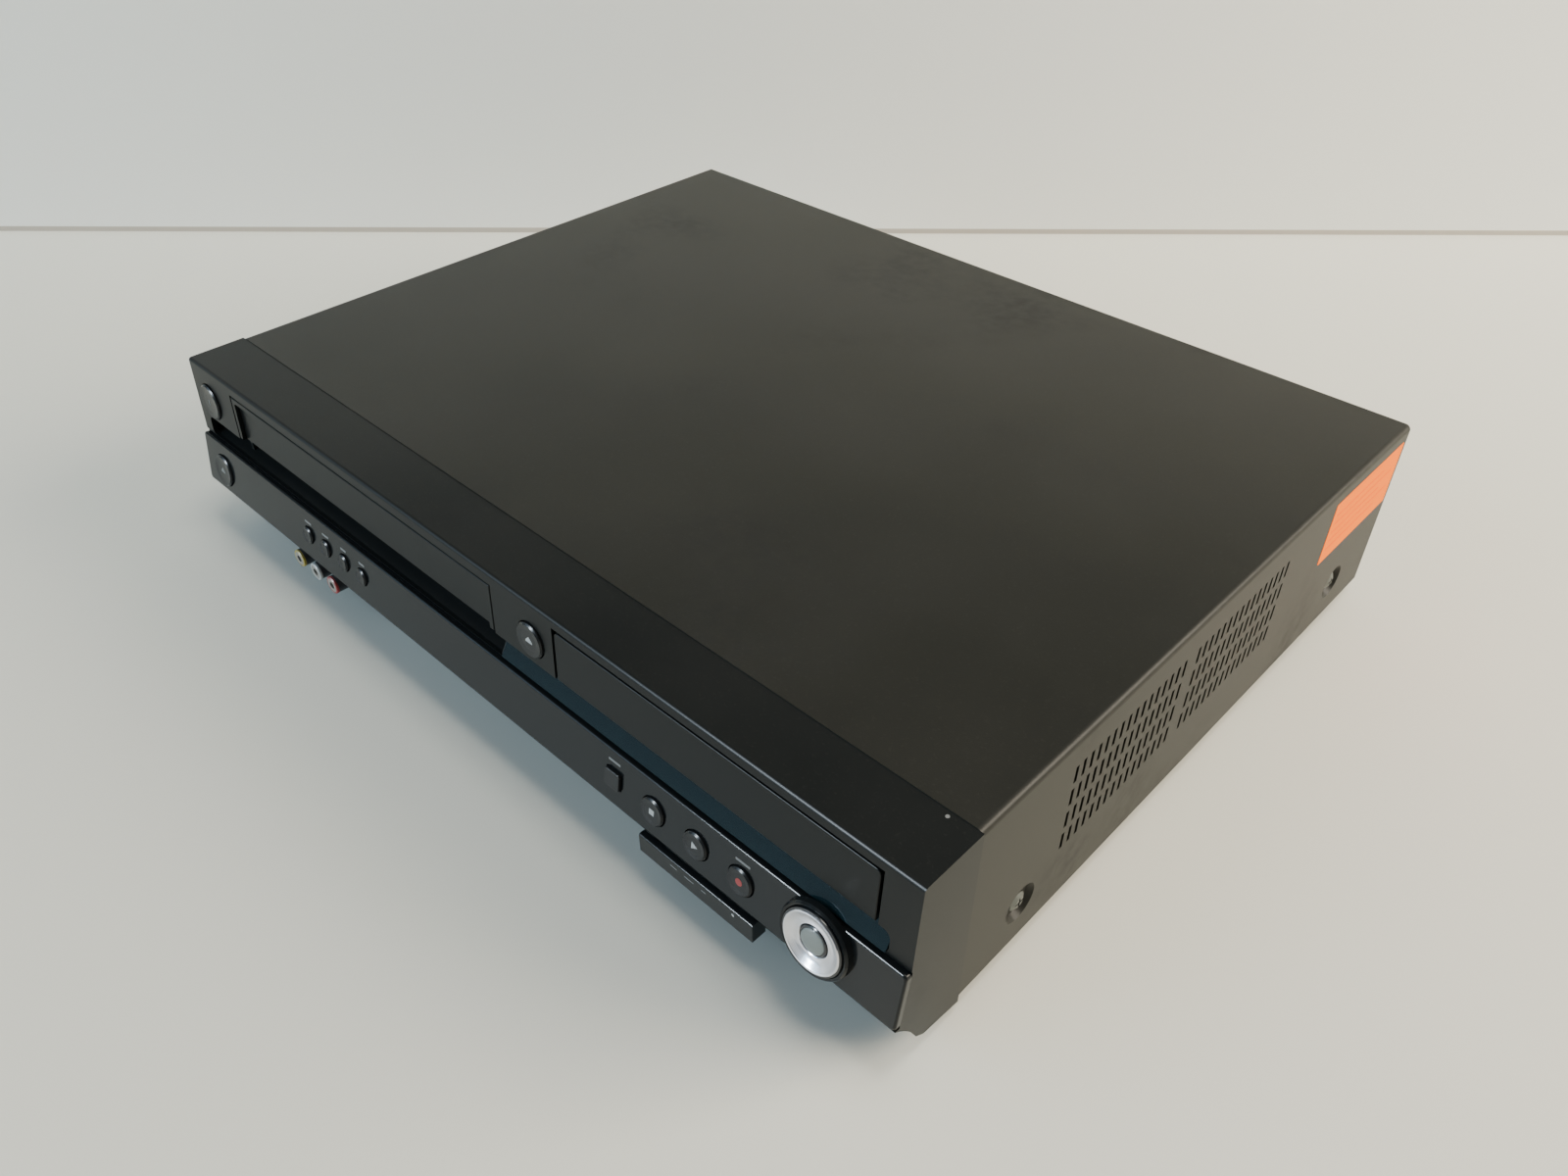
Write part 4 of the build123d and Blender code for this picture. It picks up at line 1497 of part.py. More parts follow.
def make_deck_motors():
    """The capstan's flat motor plate under the flywheel and the loading motor on the deck."""
    plate_size, plate_thick, plate_corner = (64, 52), 1.6, 6
    plan = Pos(CAPSTAN_X, CAPSTAN_Y) * RectangleRounded(*plate_size, plate_corner)
    plate = along_z(plan, (FLOOR_TOP, FLOOR_TOP + plate_thick))
    bore, coil, step = 8, FLYWHEEL_RADIUS - 2, FLYWHEEL_RADIUS - 9
    coil_top = FLYWHEEL_BOTTOM - 0.8
    plate += turned([
        (bore, FLOOR_TOP + 1), (coil, FLOOR_TOP + 1), (coil, coil_top), (step, coil_top),
        (bore, FLYWHEEL_BOTTOM - 2)], upright(CAPSTAN_X, CAPSTAN_Y))
    radius, shaft, worm = 8, 1.5, 3.2
    x, y, z = DECK_X - 78, DECK_REAR_Y - 2 * radius, DECK_Z + radius + 1
    loading = rod_x(radius, (x - 14, x + 12), y, z) + rod_x(shaft, (x + 12, x + 20), y, z)
    loading += rod_x(worm, (x + 13, x + 19), y, z)
    loading += block((x - 12, x + 10), (y - radius, y + radius), (DECK_Z, z))
    return plate, loading


def make_pinch_arm():
    """The pinch roller on its swinging arm."""
    width, edge = 6, 0.6
    bearing = radians(PINCH_REST)
    tip_x, tip_y = PINCH_X + PINCH_ARM * cos(bearing), PINCH_Y + PINCH_ARM * sin(bearing)
    low = DECK_Z + PINCH_LIFT + FLAT_GAP
    high = low + PINCH_SHEET
    spine = Pos((PINCH_X + tip_x) / 2, (PINCH_Y + tip_y) / 2) * Rot(0, 0, PINCH_REST) * Rectangle(PINCH_ARM, width)
    plan = spine + Pos(PINCH_X, PINCH_Y) * Circle(2 * PINCH_POST) + Pos(tip_x, tip_y) * Circle(2 * PINCH_AXLE + 1.2)
    arm = along_z(plan, (low, high)) - rod(PINCH_POST + PIN_PLAY, upright(PINCH_X, PINCH_Y), low - 1, high + 1)
    foot, head = high + 1, high + 1 + PINCH_LENGTH
    arm += rod(PINCH_AXLE, upright(tip_x, tip_y), low, head + 2)
    bore = PINCH_AXLE + PIN_PLAY
    roller = turned([
        (bore, foot), (PINCH_RADIUS - edge, foot), (PINCH_RADIUS, foot + edge), (PINCH_RADIUS, head - edge),
        (PINCH_RADIUS - edge, head), (bore, head)], upright(tip_x, tip_y))
    return arm, roller


def make_tape_guide(side):
    """A swinging tape guide: arm under the deck, peg, base, roller post and leaning pin."""
    arm_thick, ring, eye, foot, post, flange = 1.6, 11, 4.5, 4.8, 1.6, 4
    roller_low, roller_high, top = 8.4, 25.6, 27.5
    pin_offset, pin_lean, pin_length = 4.2, 9, 24
    angle = radians(-90 + side * GUIDE_START)
    x, y = DRUM_X + GUIDE_ORBIT * cos(angle), DRUM_Y + GUIDE_ORBIT * sin(angle)
    arm_top = DECK_Z - DECK_SHEET - (0.6 if side < 0 else 2.6)
    arm = Pos((DRUM_X + x) / 2, (DRUM_Y + y) / 2) * Rot(0, 0, degrees(angle)) * Rectangle(GUIDE_ORBIT, GUIDE_ARM)
    plan = arm + Pos(DRUM_X, DRUM_Y) * Circle(ring) + Pos(x, y) * Circle(eye)
    plan -= Pos(DRUM_X, DRUM_Y) * Circle(GUIDE_PIVOT + PIN_PLAY)
    guide = along_z(plan, (arm_top - arm_thick, arm_top))
    base = DECK_Z + FLAT_GAP
    guide += rod(GUIDE_SLOT / 2 - 0.6, upright(x, y), arm_top - 1, base + 1)
    guide += turned([
        (0, 0), (foot, 0), (foot, 3), (post, 4), (post, 8), (2 * post, roller_low), (2 * post, roller_high),
        (flange, roller_high + 0.4), (flange, top), (0, top)], upright(x, y, base))
    lean = Pos(x - side * pin_offset, y, base + 2) * Rot(0, -side * pin_lean, 0)
    return guide + lean * Pos(0, 0, pin_length / 2) * Cylinder(1.1, pin_length)


def make_tape_path():
    """The fixed posts and the erase and sound heads beside the drum."""
    post_places = ((DECK_X - 66, 182), (DECK_X - 84, 176), (DECK_X + 92, 205))
    head_places = ((DECK_X - 76, 196, 25), (DECK_X + 76, 214, -30))   # X, Y and turn in degrees
    foot, post, flange, shelf, high = 4, 2.2, 3.6, 8, 28
    profile = [(0, 0), (foot, 0), (foot, 2), (post, 3), (post, high - 2), (flange, high - 1.6), (flange, high),
               (0, high)]
    pieces = [turned(profile, upright(x, y, DECK_Z)) for x, y in post_places]
    for x, y, turn in head_places:
        stand = Pos(x, y) * Rot(0, 0, turn)
        head = along_z(stand * RectangleRounded(15, 12, 2), (DECK_Z + shelf, DECK_Z + high))
        pieces.append(head + along_z(stand * Rectangle(19, 14), (DECK_Z, DECK_Z + shelf + SINK)))
    return pieces


def make_cassette_holder():
    """The cassette holder: ledges, side walls, pierced top, springs' tabs and four pins."""
    half, low, high = HOLDER_HALF, HOLDER_FLOOR, HOLDER_FLOOR + HOLDER_HEIGHT
    wall, tab_size, lip_reach, lip_inset = HOLDER_SHEET, 9, 1.6, 12
    section = patch((-half, half), (low, high)) - patch((-half + wall, half - wall), (low + wall, high - wall))
    section -= patch((-half + LEDGE_WIDTH, half - LEDGE_WIDTH), (low - 1, low + wall + 1))
    holder = Pos(DECK_X, 0, 0) * along_y(section, (HOLDER_FRONT_Y, HOLDER_REAR_Y))
    window_places = [(DECK_X + x, HOLDER_FRONT_Y + y) for x in (-66, -22, 22, 66) for y in (34, 70)]
    windows = [Pos(*place) * RectangleRounded(38, 24, 3) for place in window_places]
    holder -= along_z(Sketch() + windows, (high - 2 * wall, high + wall))
    lip = Pos(DECK_X, 0, 0) * along_x(outline([
        (HOLDER_FRONT_Y, high), (HOLDER_FRONT_Y, high - wall), (HOLDER_FRONT_Y - lip_reach, high - 0.4),
        (HOLDER_FRONT_Y - lip_reach, high + 0.4)]), (-half + lip_inset, half - lip_inset))
    holder += lip
    for side in (-1, 1):
        for y in HOLDER_PIN_YS:
            pin = sorted((DECK_X + side * (half - wall / 2), DECK_X + side * (SLIDER_X + SLIDER_THICK + 0.5)))
            holder += rod_x(HOLDER_PIN_RADIUS, pin, y, HOLDER_PIN_Z)
        tab = sorted((DECK_X + side * (half - wall - tab_size), DECK_X + side * (half - wall / 2)))
        holder += block(tab, (HOLDER_REAR_Y - wall, HOLDER_REAR_Y), (low + wall / 2, low + tab_size))
    return holder


def make_carriage_sliders():
    """The two sliding plates that carry the holder, toothed along the top edge."""
    plates = []
    slot_low = HOLDER_PIN_Z - CARRIAGE_DROP - HOLDER_PIN_RADIUS - SLIDE_GAP
    slot_high = HOLDER_PIN_Z + HOLDER_PIN_RADIUS + SLIDE_GAP
    for side in (-1, 1):
        plate = patch((SLIDER_FRONT_Y, SLIDER_REAR_Y), (SLIDER_BOTTOM, SLIDER_TOP), 2)
        width = 2 * HOLDER_PIN_RADIUS + 2 * SLIDE_GAP
        for y in HOLDER_PIN_YS:
            plate -= Pos(y, (slot_low + slot_high) / 2) * SlotOverall(slot_high - slot_low, width, rotation=90)
        plate -= Pos((SLIDER_FRONT_Y + SLIDER_REAR_Y) / 2, (SLIDER_BOTTOM + SLIDER_TOP) / 2) * SlotOverall(40, 12)
        x = sorted((DECK_X + side * SLIDER_X, DECK_X + side * (SLIDER_X + SLIDER_THICK)))
        plates.append(along_x(plate, x))
    return plates


def make_carriage_frame():
    """The two upright side frames with the sliders' rails, tied by a bridge over the holder."""
    sheet, corner, rail_thick, slot_size = 1.2, 3, 1.2, (34, 14)
    inner = SIDE_FRAME_X
    bridge_ys = (HOLDER_REAR_Y + 8, HOLDER_REAR_Y + 34)
    frame = block((DECK_X - inner - sheet, DECK_X + inner + sheet), bridge_ys,
                  (SIDE_FRAME_TOP - 0.2, SIDE_FRAME_TOP + 1))
    plate = patch((SIDE_FRAME_FRONT_Y, SIDE_FRAME_REAR_Y), (DECK_Z, SIDE_FRAME_TOP), corner)
    plate += patch((SLIDER_FRONT_Y - 6, SIDE_FRAME_REAR_Y), (SLIDER_BOTTOM - 4, SLIDER_TOP + 4), corner)
    plate -= [Pos(y, (SLIDER_BOTTOM + SLIDER_TOP) / 2) * SlotOverall(*slot_size) for y in (55, 100, 145)]
    under, over = SLIDER_BOTTOM - SLIDE_GAP, SLIDER_TOP + SLIDE_GAP
    for side in (-1, 1):
        frame += along_x(plate, sorted((DECK_X + side * inner, DECK_X + side * (inner + sheet))))
        rail = sorted((DECK_X + side * (inner + 0.3), DECK_X + side * (SLIDER_X - 0.2)))
        for span in ((under - rail_thick, under), (over, over + rail_thick)):
            frame += block(rail, (SLIDER_FRONT_Y - 2, SIDE_FRAME_REAR_Y - 4), span)
    return frame


# ---------------------------------------------------------------- boards, sockets and ribbons
# Middles and sizes on the main board: X, Y, width, depth and height of each chip or plug
BOARD_BLOCKS = (
    (120, 90, 28, 28, 3), (80, 60, 20, 20, 2.6), (150, 140, 22, 14, 2.6), (60, 230, 24, 18, 3),
    (110, 30, 44, 6, 8), (34, 120, 6, 40, 8))
BOARD_CAPACITORS = ((170, 60), (170, 74), (46, 210), (46, 226), (CAPACITOR_ON_STRIP_X, 286))
# X, Y, radius and height
POWER_CAPACITORS = ((182, 215, 11, 34), (112, 214, 8, 26), (112, 234, 8, 26))
TRANSFORMER = (130, 262)
HEAT_SINK = (138, 204)    # front left corner


def make_main_board():
    """The main board with its chips, cans and plugs, notched round the drive's legs."""
    plan = patch((MAIN_LEFT, MAIN_RIGHT), (MAIN_FRONT_Y, MAIN_REAR_Y))
    plan += patch((MAIN_LEFT, STRIP_RIGHT), (MAIN_REAR_Y - 1, STRIP_REAR_Y))
    plan += patch((STRIP_LEFT, STRIP_RIGHT), (STRIP_FRONT_Y, STRIP_REAR_Y))
    plan -= [Pos(*place) * Circle(LEG_RADIUS + 1.2) for place in drive_leg_places()]
    pieces = [along_z(plan, (BOARD_Z, BOARD_TOP))]
    for x, y, width, depth, height in BOARD_BLOCKS:
        pieces.append(Pos(x, y, BOARD_TOP + height / 2) * Box(width, depth, height))
    return pieces + [can(x, y, 5, 13.6, 0.6) for x, y in BOARD_CAPACITORS]


def can(x, y, radius, height, edge):
    """A capacitor's can, standing on a board."""
    return turned([
        (0, 0), (radius, 0), (radius, height - edge), (radius - edge, height), (0, height)],
        upright(x, y, BOARD_TOP))


def make_power_board():
    """The power board with its transformer, capacitors and finned heat sink."""
    fin_count, fin_pitch, fin_wall, fin_depth, back_wall, sink_height = 5, 6, 2, 18, 4, 30
    plan = patch((POWER_LEFT, MAIN_RIGHT), (POWER_FRONT_Y, STRIP_REAR_Y))
    pieces = [along_z(plan, (BOARD_Z, BOARD_TOP))]
    pieces.append(Pos(*TRANSFORMER, BOARD_TOP + 14) * (Box(38, 32, 28) + Box(26, 40, 20)))
    pieces += [can(x, y, radius, height, 1) for x, y, radius, height in POWER_CAPACITORS]
    left, front = HEAT_SINK
    fins = patch((left, left + fin_count * fin_pitch), (front, front + back_wall))
    for fin in range(fin_count):
        x = left + fin_wall + fin * fin_pitch
        fins += patch((x, x + fin_wall), (front + back_wall - 1, front + fin_depth))
    pieces.append(along_z(fins, (BOARD_TOP, BOARD_TOP + sink_height)))
    return pieces


def make_tuner_can():
    """The screened tuner with its two aerial sockets, which come out through the rear panel."""
    slot_count, slot_inset, slot_pitch, slot = 5, 10, 11, Box(5, 26, 1)
    shoulder, pin_radius, bores = 1.5, 1.15, (3.9, 1.2)
    front_y, top = REAR_INNER_Y - TUNER_DEPTH, BOARD_TOP + TUNER_HEIGHT
    case = block((TUNER_LEFT, TUNER_RIGHT), (front_y, REAR_INNER_Y), (BOARD_TOP, top))
    for step in range(slot_count):
        case -= Pos(TUNER_LEFT + slot_inset + step * slot_pitch, REAR_INNER_Y - TUNER_DEPTH / 2, top) * slot
    tip = REAR_FACE_Y + AERIAL_REACH
    for x, bore in zip(AERIAL_XS, bores):
        case += rod_y(AERIAL_RADIUS + AERIAL_COLLAR, x, (REAR_INNER_Y - 1, REAR_FACE_Y + shoulder), AERIAL_Z)
        case += rod_y(AERIAL_RADIUS, x, (REAR_FACE_Y, tip), AERIAL_Z)
        case -= rod_y(bore, x, (REAR_FACE_Y - 6, tip + 1), AERIAL_Z)
    return case + rod_y(pin_radius, AERIAL_XS[0], (REAR_FACE_Y - 7, tip - 1), AERIAL_Z)


def scart(x):
    """A 21-way socket: block with two rows of contact slots in a skewed rim groove."""
    depth, proud, groove_depth, contact_depth, contact_pitch, contact_row = 16, 1.6, 8, 4, 3.6, 1.9
    half, tall = SCART_WIDTH / 2, SCART_HEIGHT / 2
    back = REAR_INNER_Y - depth
    body = along_y(Pos(x, SCART_Z) * Rectangle(SCART_WIDTH, SCART_HEIGHT), (back, REAR_FACE_Y + proud))
    body += block((x - half + 2, x + half - 2), (back, REAR_INNER_Y - 2), (BOARD_TOP, SCART_Z))
    rim = [
        (-half + 1.6, -tall + 2), (half - 4.4, -tall + 2), (half - 1.6, -tall + 4.6), (half - 1.6, tall - 2),
        (-half + 1.6, tall - 2)]
    core = [
        (-half + 3, -tall + 3.2), (half - 4.9, -tall + 3.2), (half - 3, -tall + 5.1), (half - 3, tall - 3.2),
        (-half + 3, tall - 3.2)]
    groove = Pos(x, SCART_Z) * (outline(rim) - outline(core))
    body -= along_y(groove, (REAR_FACE_Y - groove_depth, REAR_FACE_Y + 3))
    contacts = [Pos(x - 16.5 + step * contact_pitch, SCART_Z + row) * Rectangle(1.2, 2.2)
                for step in range(10) for row in (-contact_row, contact_row)]
    return body - along_y(Sketch() + contacts, (REAR_FACE_Y - contact_depth, REAR_FACE_Y + 3))


def make_rear_sockets():
    """Two 21-way sockets and the bank of phono sockets."""
    low, high = PHONO_ZS[0] - 7, PHONO_ZS[-1] + 7
    bank = block((PHONO_XS[0] - 8, PHONO_XS[-1] + 8), (REAR_INNER_Y - 14, REAR_INNER_Y), (low, high))
    bank += block((PHONO_XS[0] - 6, PHONO_XS[-1] + 6), (REAR_INNER_Y - 12, REAR_INNER_Y - 2), (BOARD_TOP, low + 1))
    for x in PHONO_XS:
        for z in PHONO_ZS:
            bank += rod_y(PHONO_COLLAR, x, (REAR_INNER_Y - 1, REAR_FACE_Y + 0.6), z)
            bank += rod_y(JACK_RADIUS, x, (REAR_INNER_Y, REAR_FACE_Y + PHONO_REACH), z)
            bank -= rod_y(JACK_BORE, x, (REAR_INNER_Y - 8, REAR_FACE_Y + PHONO_REACH + 1), z)
    return [scart(x) for x in SCART_XS] + [bank]


def make_mains_inlet():
    """The two-pole mains inlet: recessed shell with rounded ends and two pins."""
    flange_wall, flange_thick, shell_corner, flange_corner, foot_half = 4, 1.2, 2.5, 3, 9
    middle = Pos(INLET_X, INLET_Z)
    shell = middle * RectangleRounded(INLET_WIDTH + 2 * INLET_WALL, INLET_HEIGHT + 2 * INLET_WALL, shell_corner)
    flange = middle * RectangleRounded(INLET_WIDTH + 2 * flange_wall, INLET_HEIGHT + 2 * flange_wall, flange_corner)
    recess = middle * SlotOverall(INLET_WIDTH, INLET_HEIGHT)
    rear = REAR_FACE_Y + flange_thick
    floor = rear - INLET_DEPTH
    inlet = along_y(shell, (floor - INLET_WALL, rear)) + along_y(flange, (REAR_FACE_Y, rear))
    inlet += block((INLET_X - foot_half, INLET_X + foot_half), (floor, REAR_INNER_Y - 1),
                   (BOARD_TOP, INLET_Z - INLET_HEIGHT / 2))
    inlet -= along_y(recess, (floor, rear + 1))
    for side in (-1, 1):
        inlet += rod_y(INLET_PIN_RADIUS, INLET_X + side * INLET_PIN_PITCH / 2, (floor - 1, rear - 2), INLET_Z)
    return inlet


def ribbon(points, x):
    """A flat ribbon cable whose side view follows the given (y, z) points."""
    return along_x(trace(FilletPolyline(*points, radius=RIBBON_BEND), RIBBON_THICK), x)


def make_ribbon_cables():
    """Ribbon cables from the front board, the drive and the deck to the main board."""
    share = 0.6           # of the fascia's height at which the first cable leaves the front board
    board_y = fascia_y(FASCIA_DROP + FASCIA_HEIGHT * share, BOARD_DEPTH + BOARD_THICK)
    board_z = TOP - FASCIA_DROP - FASCIA_HEIGHT * share
    landing, shelf = BOARD_TOP + RIBBON_THICK, BOARD_TOP + 9
    front = ribbon([
        (board_y + 1.4, board_z), (board_y + 8, board_z), (board_y + 8, shelf), (22, shelf), (22, landing)], (68, 92))
    frame_z = FRAME_FLOOR - RIBBON_THICK
    drive = ribbon([(150, frame_z), (166, frame_z), (166, landing)], (112, 134))
    deck_y, deck_z = DECK_REAR_Y + 12, DECK_Z + RIBBON_THICK
    deck = ribbon([(DECK_REAR_Y - 6, deck_z), (deck_y, deck_z), (deck_y, landing)], (DECK_X - 14, DECK_X + 16))
    return front, drive, deck


# ---------------------------------------------------------------- writing the sub-parts
def main():
    """Build every sub-part and write it to its own file."""
    os.makedirs("parts", exist_ok=True)
    save("top_cover", make_top_cover())
    save("bottom_chassis", make_bottom_chassis())
    save("rear_panel", make_rear_panel())
    save("feet", *make_feet())
    save("cover_screws", *make_cover_screws())
    save("front_moulding", make_front_moulding())
    save("lower_fascia", make_lower_fascia())
    save("display_window", make_display_window())
    save("front_board", *make_front_board())
    save("cassette_door", make_cassette_door())

    save("dial_bezel", make_dial_bezel())
    save("dial_ring", make_dial_ring())
    save("dial_centre", make_dial_centre())
    save("power_button", make_round_key(on_upper(POWER_X, POWER_DROP), POWER_RADIUS, MOULD_WALL))
    save("disc_open_button", make_round_key(on_upper(DISC_KEY_X, DISC_KEY_DROP), DISC_KEY_RADIUS, MOULD_WALL))
    save("eject_button", make_round_key(on_fascia(EJECT_X, EJECT_DROP), EJECT_RADIUS, FASCIA_THICK))
    for number, key_x in enumerate(PRESET_XS, 1):
        save(f"preset_button_{number}", make_round_key(on_fascia(key_x, PRESET_DROP), PRESET_RADIUS, FASCIA_THICK))
    for key_name, key_x in (("stop_button", STOP_X), ("play_button", PLAY_X), ("record_button", RECORD_X)):
        save(key_name, make_round_key(on_fascia(key_x, TRANSPORT_DROP), TRANSPORT_RADIUS, FASCIA_THICK))
    save("square_button", make_square_key())
    save("front_sockets", make_front_sockets())
    save("flap_sockets", make_flap_sockets())
    save("jack_flap", make_jack_flap())

    save("disc_tray", make_disc_tray())
    save("tray_fascia", make_tray_fascia())
    save("tray_pinion", make_tray_pinion())
    save("tray_drive", *make_tray_drive())
    save("drive_frame", make_drive_frame())
    save("clamper_bridge", make_clamper_bridge())
    save("clamper", make_clamper())
    save("traverse_chassis", make_traverse_chassis())
    save("spindle_motor", make_spindle_motor())
    save("guide_rods", *make_guide_rods())
    save("turntable", make_turntable())
    save("pickup_sled", make_pickup_sled())
    save("lead_screw", make_lead_screw())

    save("deck_chassis", make_deck_chassis())
    save("lower_drum", make_lower_drum())
    save("upper_drum", make_upper_drum())
    save("supply_reel", make_reel(-1))
    save("take_up_reel", make_reel(1))
    save("capstan", make_capstan())
    save("deck_motors", *make_deck_motors())
    save("pinch_arm", *make_pinch_arm())
    save("supply_guide", make_tape_guide(-1))
    save("take_up_guide", make_tape_guide(1))
    save("tape_path", *make_tape_path())
    save("cassette_holder", make_cassette_holder())
    save("carriage_sliders", *make_carriage_sliders())
    save("carriage_frame", make_carriage_frame())

    save("main_board", *make_main_board())
    save("power_board", *make_power_board())
    save("tuner_can", make_tuner_can())
    save("rear_sockets", *make_rear_sockets())
    save("mains_inlet", make_mains_inlet())
    save("ribbon_cables", *make_ribbon_cables())


if __name__ == "__main__":
    main()
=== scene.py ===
import logging
import math
from dataclasses import dataclass
from enum import Enum

import bmesh
import bpy
from mathutils import Matrix, Vector

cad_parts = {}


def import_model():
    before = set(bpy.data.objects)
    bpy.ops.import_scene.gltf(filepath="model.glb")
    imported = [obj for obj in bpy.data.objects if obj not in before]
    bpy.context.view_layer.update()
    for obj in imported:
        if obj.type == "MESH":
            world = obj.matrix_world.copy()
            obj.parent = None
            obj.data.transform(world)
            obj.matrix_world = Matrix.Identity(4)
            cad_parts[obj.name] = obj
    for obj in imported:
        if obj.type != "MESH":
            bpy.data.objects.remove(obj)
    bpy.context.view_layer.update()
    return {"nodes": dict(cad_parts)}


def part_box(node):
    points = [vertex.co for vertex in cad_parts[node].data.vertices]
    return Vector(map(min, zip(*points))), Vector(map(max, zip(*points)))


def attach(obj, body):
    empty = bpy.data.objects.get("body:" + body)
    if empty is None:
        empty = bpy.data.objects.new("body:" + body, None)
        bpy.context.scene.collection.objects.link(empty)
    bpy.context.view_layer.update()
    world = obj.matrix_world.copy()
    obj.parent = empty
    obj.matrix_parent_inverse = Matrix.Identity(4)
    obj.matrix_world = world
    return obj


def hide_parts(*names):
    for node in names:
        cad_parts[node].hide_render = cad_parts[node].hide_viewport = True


# The looks of a disc player and video cassette recorder in one low case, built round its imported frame.
# The frame's own axes and metres are kept: +X right seen from the front, the front faces -Y, +Z up.
# The player's sizes are written in millimetres, and MM turns them into metres.

LOG = logging.getLogger("player")
MM = 0.001
MICROMETRE = 1e-6
WELD = 1e-7             # metres within which two points become one
SMOOTH_ANGLE = 30.0     # degrees up to which an edge is shaded smooth
RIGHT, BACKWARD, UP = Vector((1, 0, 0)), Vector((0, 1, 0)), Vector((0, 0, 1))
Pair = tuple[float, float]
Triple = tuple[float, float, float]
Colour = tuple[float, float, float]
Socket = bpy.types.NodeSocket


class Axis(Enum):
    """A direction that a pattern on a surface can follow."""

    X = (1.0, 0.0, 0.0)
    Y = (0.0, 1.0, 0.0)
    Z = (0.0, 0.0, 1.0)


class Symbol(Enum):
    """The plain marks that stand on keys, as outlines in millimetres."""

    UP = ((-1.9, -0.2), (1.9, -0.2), (0.0, 1.7))
    PLAY = ((-1.2, -1.5), (1.5, 0.0), (-1.2, 1.5))
    SQUARE = ((-1.2, -1.2), (1.2, -1.2), (1.2, 1.2), (-1.2, 1.2))
    BAR = ((-1.9, 0.1), (1.9, 0.1), (1.9, 0.7), (-1.9, 0.7))
    LEVER = ((-0.3, -1.4), (0.3, -1.4), (0.3, 1.4), (-0.3, 1.4))


# ------------------------ places
def axes(right: Vector, up: Vector, out: Vector, point: Vector) -> Matrix:
    """A frame at a point, from its X, Y and Z axes."""
    matrix = Matrix((right, up, out)).transposed().to_4x4()
    matrix.translation = point
    return matrix


def facing(point: Vector, axis: Vector) -> Matrix:
    """A frame at a point whose Z points along an axis."""
    matrix = axis.to_track_quat("Z", "Y").to_matrix().to_4x4()
    matrix.translation = point
    return matrix


class Case:
    """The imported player's nodes, and where its seam and top lie, read once from the frame."""

    nodes: dict[str, bpy.types.Object] = {}
    seam: float = 0.0
    top: float = 0.0

    @classmethod
    def read(cls, nodes: dict[str, bpy.types.Object]) -> None:
        """Keeps the nodes by name, and takes the seam and the top from the cover's box."""
        low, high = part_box("top_cover")
        cls.nodes, cls.seam, cls.top = nodes, low.y, high.z

    @classmethod
    def point(cls, x: float, y: float, drop: float) -> Vector:
        """A point in metres, placed down from the cover's top.

        Args:
            x: millimetres to the right of the middle.
            y: millimetres behind the seam.
            drop: millimetres below the cover's top.
        Returns:
            The point in the frame.
        """
        return Vector((x * MM, cls.seam + y * MM, cls.top - drop * MM))

    @classmethod
    def standing(cls, x: float, y: float, height: float) -> Vector:
        """A point in metres, like the other but with its height given in millimetres above the table."""
        return Vector((x * MM, cls.seam + y * MM, height * MM))


@dataclass(frozen=True)
class Slope:
    """A flat face of the front that leans back by its tilt in degrees, below an upper edge."""

    reach: float
    start_drop: float
    tilt: float

    def place(self, x: float, drop: float) -> Matrix:
        """A frame on the face whose Z points out of it and whose Y points up it.

        Args:
            x: millimetres to the right of the player's middle.
            drop: millimetres straight down from the cover's top.
        Returns:
            The frame as a matrix in metres.
        """
        lean = math.radians(self.tilt)
        up = Vector((0, math.sin(lean), math.cos(lean)))
        normal = Vector((0, -math.cos(lean), math.sin(lean)))
        along = (drop - self.start_drop) / math.cos(lean)
        return axes(RIGHT, up, normal, Case.point(x, -self.reach, self.start_drop) - up * along * MM)


UPPER = Slope(reach=27.0, start_drop=1.8, tilt=3.1)
FASCIA = Slope(reach=31.0, start_drop=37.5, tilt=8.5)
FLAP = Slope(reach=36.0, start_drop=64.2, tilt=0.0)


